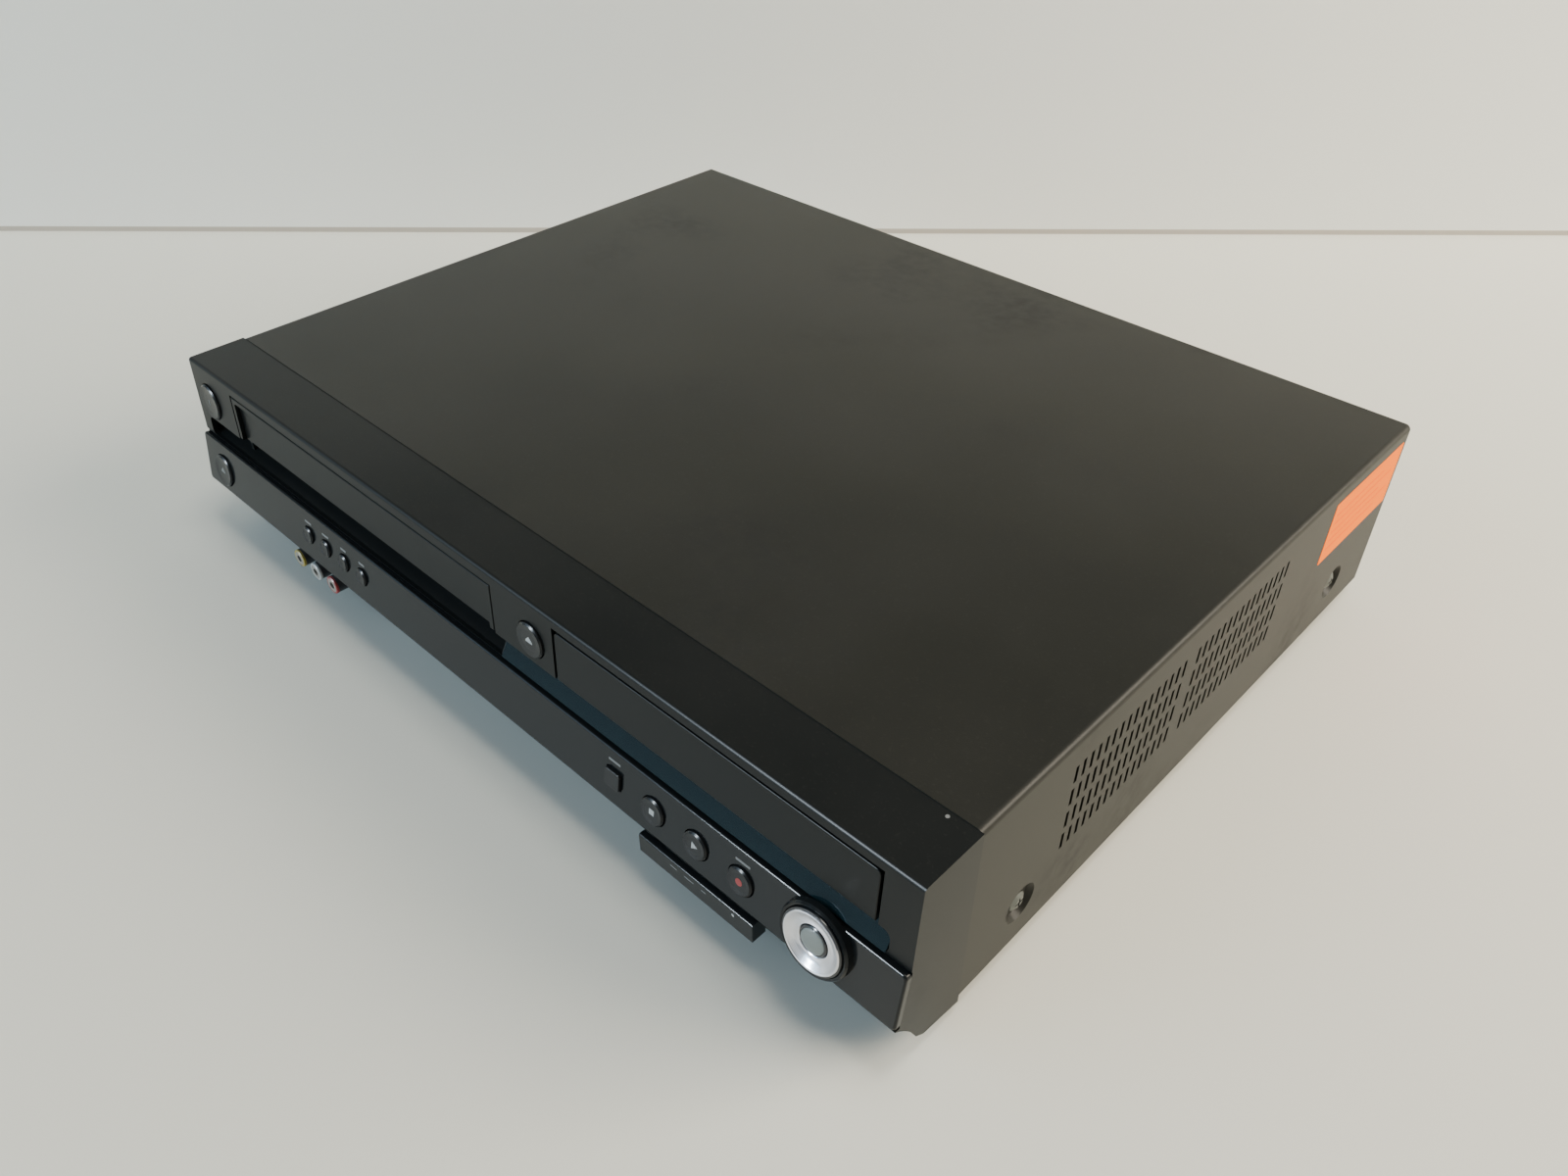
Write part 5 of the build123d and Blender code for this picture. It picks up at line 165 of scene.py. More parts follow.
# ------------------------ node trees
class Bench:
    """Makes nodes in one node tree and feeds their inputs."""

    def __init__(self, tree: bpy.types.NodeTree) -> None:
        """Keeps the tree to work on."""
        self.tree = tree

    def feed(self, value: object, target: Socket) -> None:
        """Joins a socket to an input, or sets the input to a number, a colour or a vector."""
        if isinstance(value, Socket):
            self.tree.links.new(value, target)
        elif target.type == "RGBA":
            target.default_value = (*value, 1.0)
        else:
            target.default_value = value

    def add(self, kind: str, **settings: object) -> bpy.types.Node:
        """Adds a node.

        Args:
            kind: Blender's name of the node type.
            settings: node properties by name, or what feeds an input, by name with spaces as underscores.
        Returns:
            The new node.
        """
        node = self.tree.nodes.new(kind)
        for name, value in settings.items():
            if hasattr(node, name):
                setattr(node, name, value)
            else:
                self.feed(value, node.inputs[name.replace("_", " ")])
        return node

    def math(self, operation: str, first: object, second: object = 0.5,
             kind: str = "ShaderNodeMath") -> Socket:
        """Works on two sockets or plain values with a Math node, or with the Vector Math node as its kind."""
        node = self.add(kind, operation=operation)
        for value, target in zip((first, second), node.inputs):
            self.feed(value, target)
        return node.outputs[0]

    def mix(self, mask: object, first: object, second: object) -> Socket:
        """Mixes two colours by a mask that is 0 for the first, each a socket or a plain value."""
        node = self.add("ShaderNodeMix", data_type="RGBA")
        factor, colour_a, colour_b, mixed = 0, 6, 7, 2
        for value, index in ((mask, factor), (first, colour_a), (second, colour_b)):
            self.feed(value, node.inputs[index])
        return node.outputs[mixed]

    def ramp(self, value: Socket, low: float, high: float) -> Socket:
        """Maps a value so that low becomes 0 and high becomes 1, with nothing beyond them."""
        return self.add("ShaderNodeMapRange", Value=value, From_Min=low, From_Max=high).outputs["Result"]

    def here(self) -> Socket:
        """The shaded point in the object's own axes."""
        return self.add("ShaderNodeTexCoord").outputs["Object"]

    def noise(self, place: Socket, scale: object, detail: float) -> Socket:
        """A noise texture with a number of octaves, read at a place."""
        return self.add("ShaderNodeTexNoise", Vector=place, Scale=scale, Detail=detail).outputs["Fac"]

    def spots(self, place: Socket, scale: float, detail: float, low: float, high: float) -> Socket:
        """Noise cut into soft spots: nothing below low, and full from high on."""
        return self.ramp(self.noise(place, scale, detail), low, high)


class Recipe:
    """A node tree that is built once and used wherever it is needed."""

    name = ""
    kind = "ShaderNodeTree"
    inputs: tuple[tuple[str, str], ...] = ()
    outputs: tuple[tuple[str, str], ...] = ()

    @classmethod
    def tree(cls) -> bpy.types.NodeTree:
        """Returns the tree, and builds it the first time."""
        known = bpy.data.node_groups.get(cls.name)
        if known:
            return known
        tree = bpy.data.node_groups.new(cls.name, cls.kind)
        for way, sockets in (("INPUT", cls.inputs), ("OUTPUT", cls.outputs)):
            for name, kind in sockets:
                tree.interface.new_socket(name, in_out=way, socket_type="NodeSocket" + kind)
        bench = Bench(tree)
        cls.fill(bench, bench.add("NodeGroupInput").outputs, bench.add("NodeGroupOutput").inputs)
        return tree

    @classmethod
    def fill(cls, bench: Bench, given: object, result: object) -> None:
        """Builds the inside of the tree.

        Args:
            bench: makes the nodes.
            given: the tree's input sockets.
            result: the tree's output sockets.
        """
        raise NotImplementedError


class MouldedGrain(Recipe):
    """The fine grain of painted sheet or moulded plastic, as a bumped normal."""

    name = "moulded_grain"
    inputs = (("Scale", "Float"), ("Depth", "Float"), ("Waves", "Float"))
    outputs = (("Normal", "Vector"),)

    @classmethod
    def fill(cls, bench: Bench, given: object, result: object) -> None:
        """Fine noise and slow waves feed one bump."""
        place = bench.here()
        fine = bench.noise(place, given["Scale"], detail=3.0)
        slow = bench.noise(place, scale=9.0, detail=1.0)
        height = bench.math("ADD", fine, bench.math("MULTIPLY", slow, given["Waves"]))
        bump = bench.add("ShaderNodeBump", Height=height, Distance=given["Depth"])
        bench.feed(bump.outputs["Normal"], result["Normal"])


class Effect(Recipe):
    """Something that lies on a surface and changes its colour and roughness by an amount."""

    inputs: tuple[tuple[str, str], ...] = (("Color", "Color"), ("Roughness", "Float"), ("Amount", "Float"))
    outputs = (("Color", "Color"), ("Roughness", "Float"))
    tint: Colour = (0.0, 0.0, 0.0)
    roughening: float = 1.0

    @classmethod
    def fill(cls, bench: Bench, given: object, result: object) -> None:
        """Mixes the tint in and raises the roughness where the mask says."""
        mask = bench.math("MULTIPLY", cls.mask(bench, given), given["Amount"])
        rise = bench.math("MULTIPLY", mask, cls.roughening)
        bench.feed(bench.mix(mask, given["Color"], cls.tint), result["Color"])
        bench.feed(bench.math("ADD", given["Roughness"], rise), result["Roughness"])

    @classmethod
    def mask(cls, bench: Bench, given: object) -> Socket:
        """Builds the mask that says where the effect shows."""
        raise NotImplementedError


class HouseDust(Effect):
    """Thin dust that lies on faces that look up and gathers in soft patches."""

    name = "house_dust"
    tint = (0.38, 0.36, 0.32)
    roughening = 0.6

    @classmethod
    def mask(cls, bench: Bench, given: object) -> Socket:
        """An upward mask times patches and specks."""
        place = bench.here()
        normal = bench.add("ShaderNodeNewGeometry").outputs["Normal"]
        split = bench.add("ShaderNodeSeparateXYZ", Vector=normal)
        upward = bench.ramp(split.outputs["Z"], low=0.2, high=0.95)
        patches = bench.spots(place, scale=14.0, detail=5.0, low=0.35, high=0.8)
        specks = bench.spots(place, scale=900.0, detail=2.0, low=0.6, high=0.75)
        mean = bench.math("MULTIPLY", bench.math("ADD", patches, specks), 0.5)
        return bench.math("MULTIPLY", upward, mean)


class HandSmears(Effect):
    """Soft blotches where hands have touched a surface."""

    name = "hand_smears"
    tint = (0.004, 0.004, 0.004)
    roughening = 0.22
    shift: Triple = (0.31, 0.17, 0.05)

    @classmethod
    def mask(cls, bench: Bench, given: object) -> Socket:
        """A few soft spots, broken up by finer ones."""
        place = bench.here()
        moved = bench.math("ADD", place, cls.shift, "ShaderNodeVectorMath")
        wide = bench.spots(moved, scale=12.0, detail=2.0, low=0.56, high=0.80)
        return bench.math("MULTIPLY", wide, bench.spots(place, scale=160.0, detail=3.0, low=0.3, high=0.7))


class RolledStreaks(Effect):
    """Fine streaks along one direction, as rolled, ground or brushed metal has them."""

    name = "rolled_streaks"
    inputs = (*Effect.inputs, ("Stretch", "Vector"))
    tint = (0.08, 0.08, 0.08)
    across: float = 40.0
    stain_share: float = 0.3

    @classmethod
    def mask(cls, bench: Bench, given: object) -> Socket:
        """Stretched noise about its mean, and some stains."""
        place = bench.here()
        stretched = bench.math("MULTIPLY", place, given["Stretch"], "ShaderNodeVectorMath")
        streaks = bench.math("SUBTRACT", bench.noise(stretched, scale=30.0, detail=4.0), 0.5)
        stains = bench.spots(place, scale=25.0, detail=4.0, low=0.4, high=0.8)
        return bench.math("ADD", streaks, bench.math("MULTIPLY", stains, cls.stain_share))


class ShapeRecipe(Recipe):
    """A Geometry Nodes tree that repeats or sweeps a small shape into one mesh."""

    kind = "GeometryNodeTree"
    outputs = (("Geometry", "Geometry"),)

    @classmethod
    def fill(cls, bench: Bench, given: object, result: object) -> None:
        """Makes the shape one real mesh and gives it its material."""
        whole = bench.add("GeometryNodeRealizeInstances", Geometry=cls.shape(bench, given))
        paint = bench.add("GeometryNodeSetMaterial", Geometry=whole.outputs["Geometry"],
                          Material=given["Material"])
        bench.feed(paint.outputs["Geometry"], result["Geometry"])

    @classmethod
    def shape(cls, bench: Bench, given: object) -> Socket:
        """Builds the shape and returns the socket that carries it."""
        raise NotImplementedError


class BarGrid(ShapeRecipe):
    """Small bars in rows and columns, such as display cells, chip legs and the smallest parts of a board."""

    name = "bar_grid"
    inputs = (("Columns", "Int"), ("Rows", "Int"), ("Width", "Float"), ("Depth", "Float"), ("Bar", "Vector"),
              ("Material", "Material"))

    @classmethod
    def shape(cls, bench: Bench, given: object) -> Socket:
        """One bar stands on every point of a grid."""
        grid = bench.add("GeometryNodeMeshGrid", Size_X=given["Width"], Size_Y=given["Depth"],
                         Vertices_X=given["Columns"], Vertices_Y=given["Rows"])
        bar = bench.add("GeometryNodeMeshCube", Size=given["Bar"])
        spread = bench.add("GeometryNodeInstanceOnPoints", Points=grid.outputs["Mesh"],
                           Instance=bar.outputs["Mesh"])
        return spread.outputs["Instances"]


class ThreadSweep(ShapeRecipe):
    """A screw's thread: a round wire swept along a helix."""

    name = "thread_sweep"
    inputs = (("Turns", "Float"), ("Radius", "Float"), ("Length", "Float"), ("Wire", "Float"),
              ("Material", "Material"))
    steps_per_turn: int = 16
    sides: int = 8

    @classmethod
    def shape(cls, bench: Bench, given: object) -> Socket:
        """A spiral with equal ends carries the wire's section."""
        path = bench.add("GeometryNodeCurveSpiral", Resolution=cls.steps_per_turn, Rotations=given["Turns"],
                         Start_Radius=given["Radius"], End_Radius=given["Radius"], Height=given["Length"])
        section = bench.add("GeometryNodeCurvePrimitiveCircle", Resolution=cls.sides, Radius=given["Wire"])
        sweep = bench.add("GeometryNodeCurveToMesh", Fill_Caps=True, Curve=path.outputs["Curve"],
                          Profile_Curve=section.outputs["Curve"])
        return sweep.outputs["Mesh"]


# ------------------------ finishes
@dataclass(frozen=True)
class Finish:
    """A surface: its colour and roughness, and the small faults that the real one shows.

    The grain's scale is in grains to the metre and its depth in micrometres. Slot names a colour slot, which
    nothing here reads.
    """

    name: str
    colour: Colour
    roughness: float
    slot: str
    metallic: float = 0.0
    coat: float = 0.0
    coat_roughness: float = 0.05
    specular: float = 0.5
    grain: float = 1500.0
    depth: float = 10.0
    waves: float = 0.0
    dust: float = 0.0
    smears: float = 0.0
    streaks: float = 0.0
    streak_axis: Axis = Axis.X
    alpha: float = 1.0
    one_sided: bool = False
    # emitted colour: painted light that makes a surface shine though it is no lamp
    painted_glow: Colour = (0.0, 0.0, 0.0)

    def material(self) -> bpy.types.Material:
        """Returns the finish's material, and builds it the first time."""
        known = bpy.data.materials.get("look_" + self.name)
        if known:
            return known
        material = bpy.data.materials.new("look_" + self.name)
        material.use_nodes = True
        bench = Bench(material.node_tree)
        colour, rough = self.pattern(bench)
        for effect, amount in (
                (RolledStreaks, self.streaks), (HandSmears, self.smears), (HouseDust, self.dust)):
            if amount:
                node = bench.add("ShaderNodeGroup", node_tree=effect.tree(), Amount=amount, Color=colour,
                                 Roughness=rough)
                if effect is RolledStreaks:
                    stretch = [1.0 if part else effect.across for part in self.streak_axis.value]
                    bench.feed(stretch, node.inputs["Stretch"])
                colour, rough = node.outputs["Color"], node.outputs["Roughness"]
        grain = bench.add("ShaderNodeGroup", node_tree=MouldedGrain.tree(), Scale=self.grain,
                          Depth=self.depth * MICROMETRE, Waves=self.waves)
        values = {
            "Base Color": colour, "Roughness": rough, "Metallic": self.metallic, "Coat Weight": self.coat,
            "Coat Roughness": self.coat_roughness, "Specular IOR Level": self.specular, "Alpha": self.alpha,
            # the painted glow feeds emission as painted light
            "Emission Color": self.painted_glow, "Emission Strength": float(any(self.painted_glow)),
            "Normal": grain.outputs["Normal"]}
        if self.one_sided:
            behind = bench.add("ShaderNodeNewGeometry").outputs["Backfacing"]
            values["Alpha"] = bench.math("SUBTRACT", 1.0, behind)
        for name, value in values.items():
            bench.feed(value, material.node_tree.nodes["Principled BSDF"].inputs[name])
        return material

    def pattern(self, bench: Bench) -> tuple[object, object]:
        """Gives the colour and roughness before dust and wear, here the same all over.

        Args:
            bench: makes nodes in the material.
        Returns:
            Colour and roughness, each a socket or a plain value.
        """
        return self.colour, self.roughness


@dataclass(frozen=True)
class StripedFinish(Finish):
    """A finish with even stripes of painted shade across one axis, in the valleys between the wires of a
    ribbon cable.
    """

    pitch: float = 0.00127
    # the colour of the painted shade in the valleys between the wires
    valley_shade_colour: Colour = (0.2, 0.2, 0.2)
    stripe_axis: Axis = Axis.X

    def pattern(self, bench: Bench) -> tuple[object, object]:
        """A sine along the axis paints shade into the valleys between the wires."""
        split = bench.add("ShaderNodeSeparateXYZ", Vector=bench.here())
        turns = bench.math("MULTIPLY", split.outputs[self.stripe_axis.name], 2 * math.pi / self.pitch)
        valley_shade_mask = bench.ramp(bench.math("SINE", turns), low=0.55, high=0.95)
        return bench.mix(valley_shade_mask, self.colour, self.valley_shade_colour), self.roughness


@dataclass(frozen=True)
class BoardFinish(Finish):
    """A circuit board: lacquer over copper tracks that show as slightly lighter lines."""

    track: Colour = (0.20, 0.30, 0.12)
    cell_scale: float = 140.0

    def pattern(self, bench: Bench) -> tuple[object, object]:
        """The square cells of a Voronoi pattern stand for the tracks."""
        cells = bench.add("ShaderNodeTexVoronoi", distance="CHEBYCHEV", feature="F1", Scale=self.cell_scale,
                          Vector=bench.here())
        lines = bench.ramp(cells.outputs["Distance"], low=0.40, high=0.44)
        return bench.mix(lines, self.colour, self.track), self.roughness


class Look(Enum):
    """Every finish on the player and round it."""

    COVER = Finish(
        "cover_paint", (0.0092, 0.0094, 0.0066), 0.42, "case_paint", specular=0.25, grain=2600.0, depth=22.0,
        waves=0.6, dust=0.03, smears=0.6)
    FRONT = Finish(
        "front_plastic", (0.0074, 0.0088, 0.0086), 0.34, "front_plastic", specular=0.12, grain=3000.0,
        depth=6.0, waves=0.4, dust=0.03, smears=0.3)
    GLOSS = Finish(
        "fascia_gloss", (0.009, 0.011, 0.012), 0.16, "fascia_gloss", specular=0.18, depth=1.0, waves=0.5,
        dust=0.03, smears=0.3)
    WINDOW = Finish(
        "smoked_window", (0.010, 0.028, 0.034), 0.10, "smoked_window", alpha=0.965, depth=0.1)
    KEY = Finish(
        "key_plastic", (0.013, 0.014, 0.015), 0.26, "key_plastic", specular=0.22, grain=2500.0, depth=3.0,
        smears=0.4)
    MARK = Finish("printed_mark", (0.50, 0.51, 0.50), 0.45, "key_plastic", depth=1.0)
    DIM_MARK = Finish("faint_mark", (0.17, 0.175, 0.175), 0.45, "key_plastic", depth=1.0)
    RED_MARK = Finish("red_mark", (0.36, 0.02, 0.02), 0.40, "key_plastic", depth=1.0)
    DIAL_METAL = Finish(
        "dial_metal", (0.66, 0.67, 0.72), 0.20, "dial_metal", metallic=1.0, grain=900.0, depth=0.8)
    DIAL_SKIRT = Finish("dial_skirt", (0.010, 0.011, 0.013), 0.18, "fascia_gloss", depth=1.0)
    DIAL_LENS = Finish("dial_lens", (0.19, 0.215, 0.20), 0.30, "dial_lens", coat=0.3, depth=1.0)
    INNER_BLACK = Finish("inner_black", (0.016, 0.016, 0.017), 0.48, "inner_black", dust=0.06)
    INNER_WHITE = Finish("inner_white", (0.66, 0.65, 0.61), 0.45, "inner_white", depth=6.0, dust=0.05)
    ZINC = Finish(
        "zinc_steel", (0.50, 0.50, 0.47), 0.36, "zinc_steel", metallic=1.0, streaks=0.35, grain=500.0,
        depth=6.0)
    REAR_PAINT = Finish(
        "rear_paint", (0.026, 0.026, 0.025), 0.50, "rear_paint", grain=2400.0, depth=20.0, dust=0.05)
    DRUM = Finish(
        "drum_metal", (0.80, 0.80, 0.81), 0.20, "drum_metal", metallic=1.0, streaks=0.2, streak_axis=Axis.Z,
        depth=2.0)
    STEEL = Finish(
        "bright_steel", (0.60, 0.60, 0.60), 0.28, "bright_steel", metallic=1.0, streaks=0.25, depth=3.0)
    SCREW = Finish(
        "screw_steel", (0.15, 0.16, 0.15), 0.40, "bright_steel", metallic=1.0, grain=2000.0, depth=8.0)
    SOCKET = Finish("socket_plastic", (0.03, 0.03, 0.033), 0.42, "socket_plastic", depth=5.0)
    TIN = Finish("can_steel", (0.66, 0.66, 0.64), 0.30, "can_steel", metallic=1.0, streaks=0.3, depth=4.0)
    RUBBER = Finish(
        "foot_rubber", (0.018, 0.018, 0.018), 0.78, "foot_rubber", grain=1800.0, depth=30.0, dust=0.1)
    # the ribbon's stripes are painted shade in the valleys between its wires
    RIBBON = StripedFinish("ribbon_grey", (0.52, 0.52, 0.50), 0.5, "ribbon_grey", depth=4.0)
    BOARD = BoardFinish("circuit_board", (0.10, 0.18, 0.07), 0.34, "circuit_board", depth=4.0, dust=0.08)
    # the sticker paper and its ink carry a painted glow: emitted orange light that brightens them beyond what
    # the lamps give
    STICKER = Finish(
        "sticker_paper", (0.98, 0.20, 0.008), 0.8, "case_paint", specular=0.03, grain=1200.0, waves=1.5,
        smears=0.1, painted_glow=(0.42, 0.06, 0.0))
    STICKER_LINE = Finish(
        "sticker_ink", (0.80, 0.13, 0.006), 0.8, "case_paint", specular=0.03, depth=3.0,
        painted_glow=(0.34, 0.045, 0.0))
    YELLOW = Finish("yellow_plastic", (0.42, 0.32, 0.05), 0.45, "socket_plastic", depth=2.0)
    WHITE = Finish("white_plastic", (0.46, 0.47, 0.45), 0.45, "socket_plastic", depth=2.0)
    RED = Finish("red_plastic", (0.36, 0.03, 0.03), 0.45, "socket_plastic", depth=2.0)
    THROAT = Finish("socket_metal", (0.36, 0.35, 0.33), 0.34, "can_steel", metallic=1.0, depth=2.0)
    PHOSPHOR = Finish("unlit_phosphor", (0.10, 0.14, 0.14), 0.5, "smoked_window", depth=2.0)
    LENS_GLASS = Finish("lens_glass", (0.02, 0.03, 0.10), 0.03, "dial_lens", coat=1.0, depth=0.2)
    FLOOR = Finish(
        "table_top", (0.755, 0.745, 0.665), 0.55, "case_paint", specular=0.35, grain=400.0, depth=20.0)
    WALL = Finish(
        "wall_paint", (0.90, 0.90, 0.845), 0.8, "case_paint", specular=0.2, grain=300.0, depth=30.0,
        one_sided=True)
    WALL_FOOT = Finish("wall_foot", (0.50, 0.45, 0.39), 0.8, "case_paint", specular=0.1, one_sided=True)

    def dress(self, *names: str) -> None:
        """Gives CAD nodes this finish."""
        for name in names:
            mesh = Case.nodes[name].data
            mesh.materials.clear()
            mesh.materials.append(self.value.material())
            LOG.info("%s wears %s", name, self.value.name)


# ------------------------ meshes
@dataclass
class Piece:
    """A mesh piece: its name, its finish, the CAD body that it rides on and the frame that it stands in.

    Each of the methods makes it in its own way from sizes in millimetres, and returns the new object.
    """

    name: str
    look: Look
    body: str
    place: Matrix

    def turned(self, points: list[Pair], segments: int) -> bpy.types.Object:
        """Turns a profile about the frame's Z axis.

        Args:
            points: radius and height, closed when the last repeats the first or both lie on the axis.
            segments: faces round it.
        """
        shape = bmesh.new()
        ring = [shape.verts.new((radius * MM, 0, height * MM)) for radius, height in points]
        edges = [shape.edges.new(pair) for pair in zip(ring, ring[1:])]
        bmesh.ops.spin(shape, geom=ring + edges, cent=(0, 0, 0), axis=UP, angle=2 * math.pi, steps=segments)
        bmesh.ops.remove_doubles(shape, verts=shape.verts, dist=WELD)
        return self._finish(shape)

    def plate(self, points: list[Pair], low: float, high: float) -> bpy.types.Object:
        """Raises an outline into a flat plate that lies between two heights."""
        shape = bmesh.new()
        base = shape.faces.new([shape.verts.new((x * MM, y * MM, low * MM)) for x, y in points])
        for item in bmesh.ops.extrude_face_region(shape, geom=[base])["geom"]:
            if isinstance(item, bmesh.types.BMVert):
                item.co.z = high * MM
        return self._finish(shape)

    def bars(self, columns: int, rows: int, spread: Pair, bar: Triple) -> bpy.types.Object:
        """Sets small bars in columns and rows.

        Args:
            columns: how many there are along X.
            rows: how many there are along Y.
            spread: from the middle of the first column to that of the last, and the same for the rows.
            bar: the size of one.
        """
        return self.grown(BarGrid, Columns=columns, Rows=rows, Width=spread[0] * MM, Depth=spread[1] * MM,
                          Bar=[size * MM for size in bar])

    def grown(self, recipe: type[Recipe], **sizes: object) -> bpy.types.Object:
        """Runs a Geometry Nodes tree, with its inputs in metres given by name."""
        tree = recipe.tree()
        host = bpy.data.objects.new(self.name + "_host", bpy.data.meshes.new(self.name + "_host"))
        bpy.context.scene.collection.objects.link(host)
        modifier = host.modifiers.new("repeat", "NODES")
        modifier.node_group = tree
        values = {**sizes, "Material": self.look.value.material()}
        for item in tree.interface.items_tree:
            if item.item_type == "SOCKET" and item.in_out == "INPUT":
                modifier[item.identifier] = values[item.name]
        shape = bmesh.new()
        result = bpy.data.meshes.new_from_object(host.evaluated_get(bpy.context.evaluated_depsgraph_get()))
        shape.from_mesh(result)
        host.modifiers.remove(modifier)
        bpy.data.objects.remove(host)
        return self._finish(shape)

    def _finish(self, shape: bmesh.types.BMesh) -> bpy.types.Object:
        """Stands a mesh in its frame, shades and paints it, and lets it ride on its body."""
        name, look, body = self.name, self.look, self.body
        shape.transform(self.place)
        bmesh.ops.remove_doubles(shape, verts=shape.verts, dist=WELD)
        bmesh.ops.recalc_face_normals(shape, faces=shape.faces)
        for face in shape.faces:
            face.smooth = True
        limit = math.radians(SMOOTH_ANGLE)
        for edge in shape.edges:
            edge.smooth = len(edge.link_faces) == 2 and edge.calc_face_angle(0.0) < limit
        mesh = bpy.data.meshes.new(name)
        shape.to_mesh(mesh)
        shape.free()
        mesh.materials.clear()
        mesh.materials.append(look.value.material())
        piece = bpy.data.objects.new(name, mesh)
        bpy.context.scene.collection.objects.link(piece)
        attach(piece, body)
        LOG.info("%s rides on %s with %d faces", name, body, len(mesh.polygons))
        return piece


def rounded(width: float, height: float, corner: float, steps: int = 2) -> list[Pair]:
    """The outline of a rectangle about the origin, turning left, with a number of steps round each corner."""
    points = []
    for turn, (sign_x, sign_y) in enumerate(((1, 1), (-1, 1), (-1, -1), (1, -1))):
        for step in range(steps + 1):
            angle = math.pi / 2 * (turn + step / steps)
            points.append((sign_x * (width / 2 - corner) + corner * math.cos(angle),
                           sign_y * (height / 2 - corner) + corner * math.sin(angle)))
    return points


def disc(radius: float, steps: int = 24) -> list[Pair]:
    """The outline of a circle about the origin."""
    angles = [2 * math.pi * step / steps for step in range(steps)]
    return [(radius * math.cos(angle), radius * math.sin(angle)) for angle in angles]


def dome(radius: float, top: float, rise: float, steps: int = 8) -> list[Pair]:
    """A dome's profile from its top on the axis outwards, falling by its rise."""
    shares = [step / steps for step in range(steps + 1)]
    return [(radius * share, top - rise * share ** 2) for share in shares]


# ------------------------ studio
@dataclass(frozen=True)
class Lamp:
    """One area light, in metres and watts. A mirrored one shows in glossy surfaces only."""

    name: str
    place: Triple
    target: Triple
    size: Pair
    power: float
    colour: Colour
    mirrored: bool = False

    def hang(self) -> None:
        """Adds the light to the scene."""
        data = bpy.data.lights.new(self.name, "AREA")
        data.shape, data.size, data.size_y = "RECTANGLE", *self.size
        data.energy, data.color = self.power, self.colour
        lamp = bpy.data.objects.new(self.name, data)
        lamp.matrix_world = facing(Vector(self.place), Vector(self.place) - Vector(self.target))
        lamp.visible_diffuse = not self.mirrored
        bpy.context.scene.collection.objects.link(lamp)


@dataclass
class Studio:
    """The table, the wall behind it, the soft lights and the photograph's camera, in metres and degrees."""

    eye: Triple = (328.88, -203.08, -272.82)    # millimetres: X, behind the seam, below the cover's top
    yaw: float = -43.488
    pitch: float = 39.109
    roll: float = 0.166
    lens: float = 28.148
    sensor: float = 36.0
    nearest: float = 0.01
    table_reach: float = 4.0
    half_width: float = 6.0
    wall_distance: float = 0.855
    wall_height: float = 0.42
    foot_height: float = 0.0036
    surround: Colour = (0.95, 0.96, 1.0)
    surround_strength: float = 0.22
    lamps: tuple[Lamp, ...] = (
        Lamp("window_light", (1.5, 0.95, 1.05), (0.2, 0.0, 0.0), (1.2, 1.0), 62.0, (1.0, 0.90, 0.74)),
        Lamp("ceiling_light", (0.4, 0.14, 2.4), (0.0, 0.0, 0.0), (0.8, 0.8), 28.5, (1.0, 0.97, 0.88)),
        Lamp("front_sky", (-1.0, -1.9, 1.0), (0.0, -0.1, 0.0), (2.0, 1.6), 30.0, (0.50, 0.77, 1.0)),
        Lamp("front_window", (-0.63, -1.8, 1.2), (0.15, -0.1, 0.05), (0.36, 1.3), 160.0, (0.80, 0.91, 1.0),
             mirrored=True))

    def build(self) -> None:
        """Makes everything that isn't part of the player."""
        self._camera()
        self._table()
        self._surround()
        for lamp in self.lamps:
            lamp.hang()

    def _camera(self) -> None:
        """Stands the camera where the photograph was taken."""
        yaw, pitch, roll = (math.radians(angle) for angle in (self.yaw, self.pitch, self.roll))
        forward = Vector((math.sin(yaw) * math.cos(pitch), math.cos(yaw) * math.cos(pitch), -math.sin(pitch)))
        level = Vector((math.cos(yaw), -math.sin(yaw), 0))
        upright = level.cross(forward)
        right = level * math.cos(roll) + upright * math.sin(roll)
        above = upright * math.cos(roll) - level * math.sin(roll)
        data = bpy.data.cameras.new("camera")
        data.lens, data.sensor_width, data.clip_start = self.lens, self.sensor, self.nearest
        camera = bpy.data.objects.new("camera", data)
        camera.matrix_world = axes(right, above, -forward, Case.point(*self.eye))
        bpy.context.scene.collection.objects.link(camera)
        bpy.context.scene.camera = camera

    def _sheet(self, name: str, corners: list[Triple], look: Look) -> None:
        """Adds one flat piece of the room from its four corners."""
        mesh = bpy.data.meshes.new(name)
        mesh.from_pydata(corners, [], [(0, 1, 2, 3)])
        mesh.materials.append(look.value.material())
        sheet = bpy.data.objects.new(name, mesh)
        bpy.context.scene.collection.objects.link(sheet)

    def _table(self) -> None:
        """Lays the table top and stands the wall along its far edge, square to the view."""
        yaw = math.radians(self.yaw)
        along = Vector((math.cos(yaw), -math.sin(yaw), 0)) * self.half_width
        away = Vector((math.sin(yaw), math.cos(yaw), 0))
        start = Case.standing(self.eye[0], self.eye[1], 0)
        edge, near = start + away * self.wall_distance, start - away * self.table_reach
        corners = [near - along, near + along, edge + along, edge - along]
        self._sheet("table", [tuple(corner) for corner in corners], Look.FLOOR)
        left, right = (edge - along).xy, (edge + along).xy
        for name, low, high, look in (("wall_foot", 0.0, self.foot_height, Look.WALL_FOOT),
                                      ("wall", self.foot_height, self.wall_height, Look.WALL)):
            self._sheet(name, [(*left, low), (*right, low), (*right, high), (*left, high)], look)

    def _surround(self) -> None:
        """Gives the room its pale even light."""
        world = bpy.data.worlds.new("surround")
        world.use_nodes = True
        background = world.node_tree.nodes["Background"].inputs
        background["Color"].default_value = (*self.surround, 1.0)
        background["Strength"].default_value = self.surround_strength
        bpy.context.scene.world = world


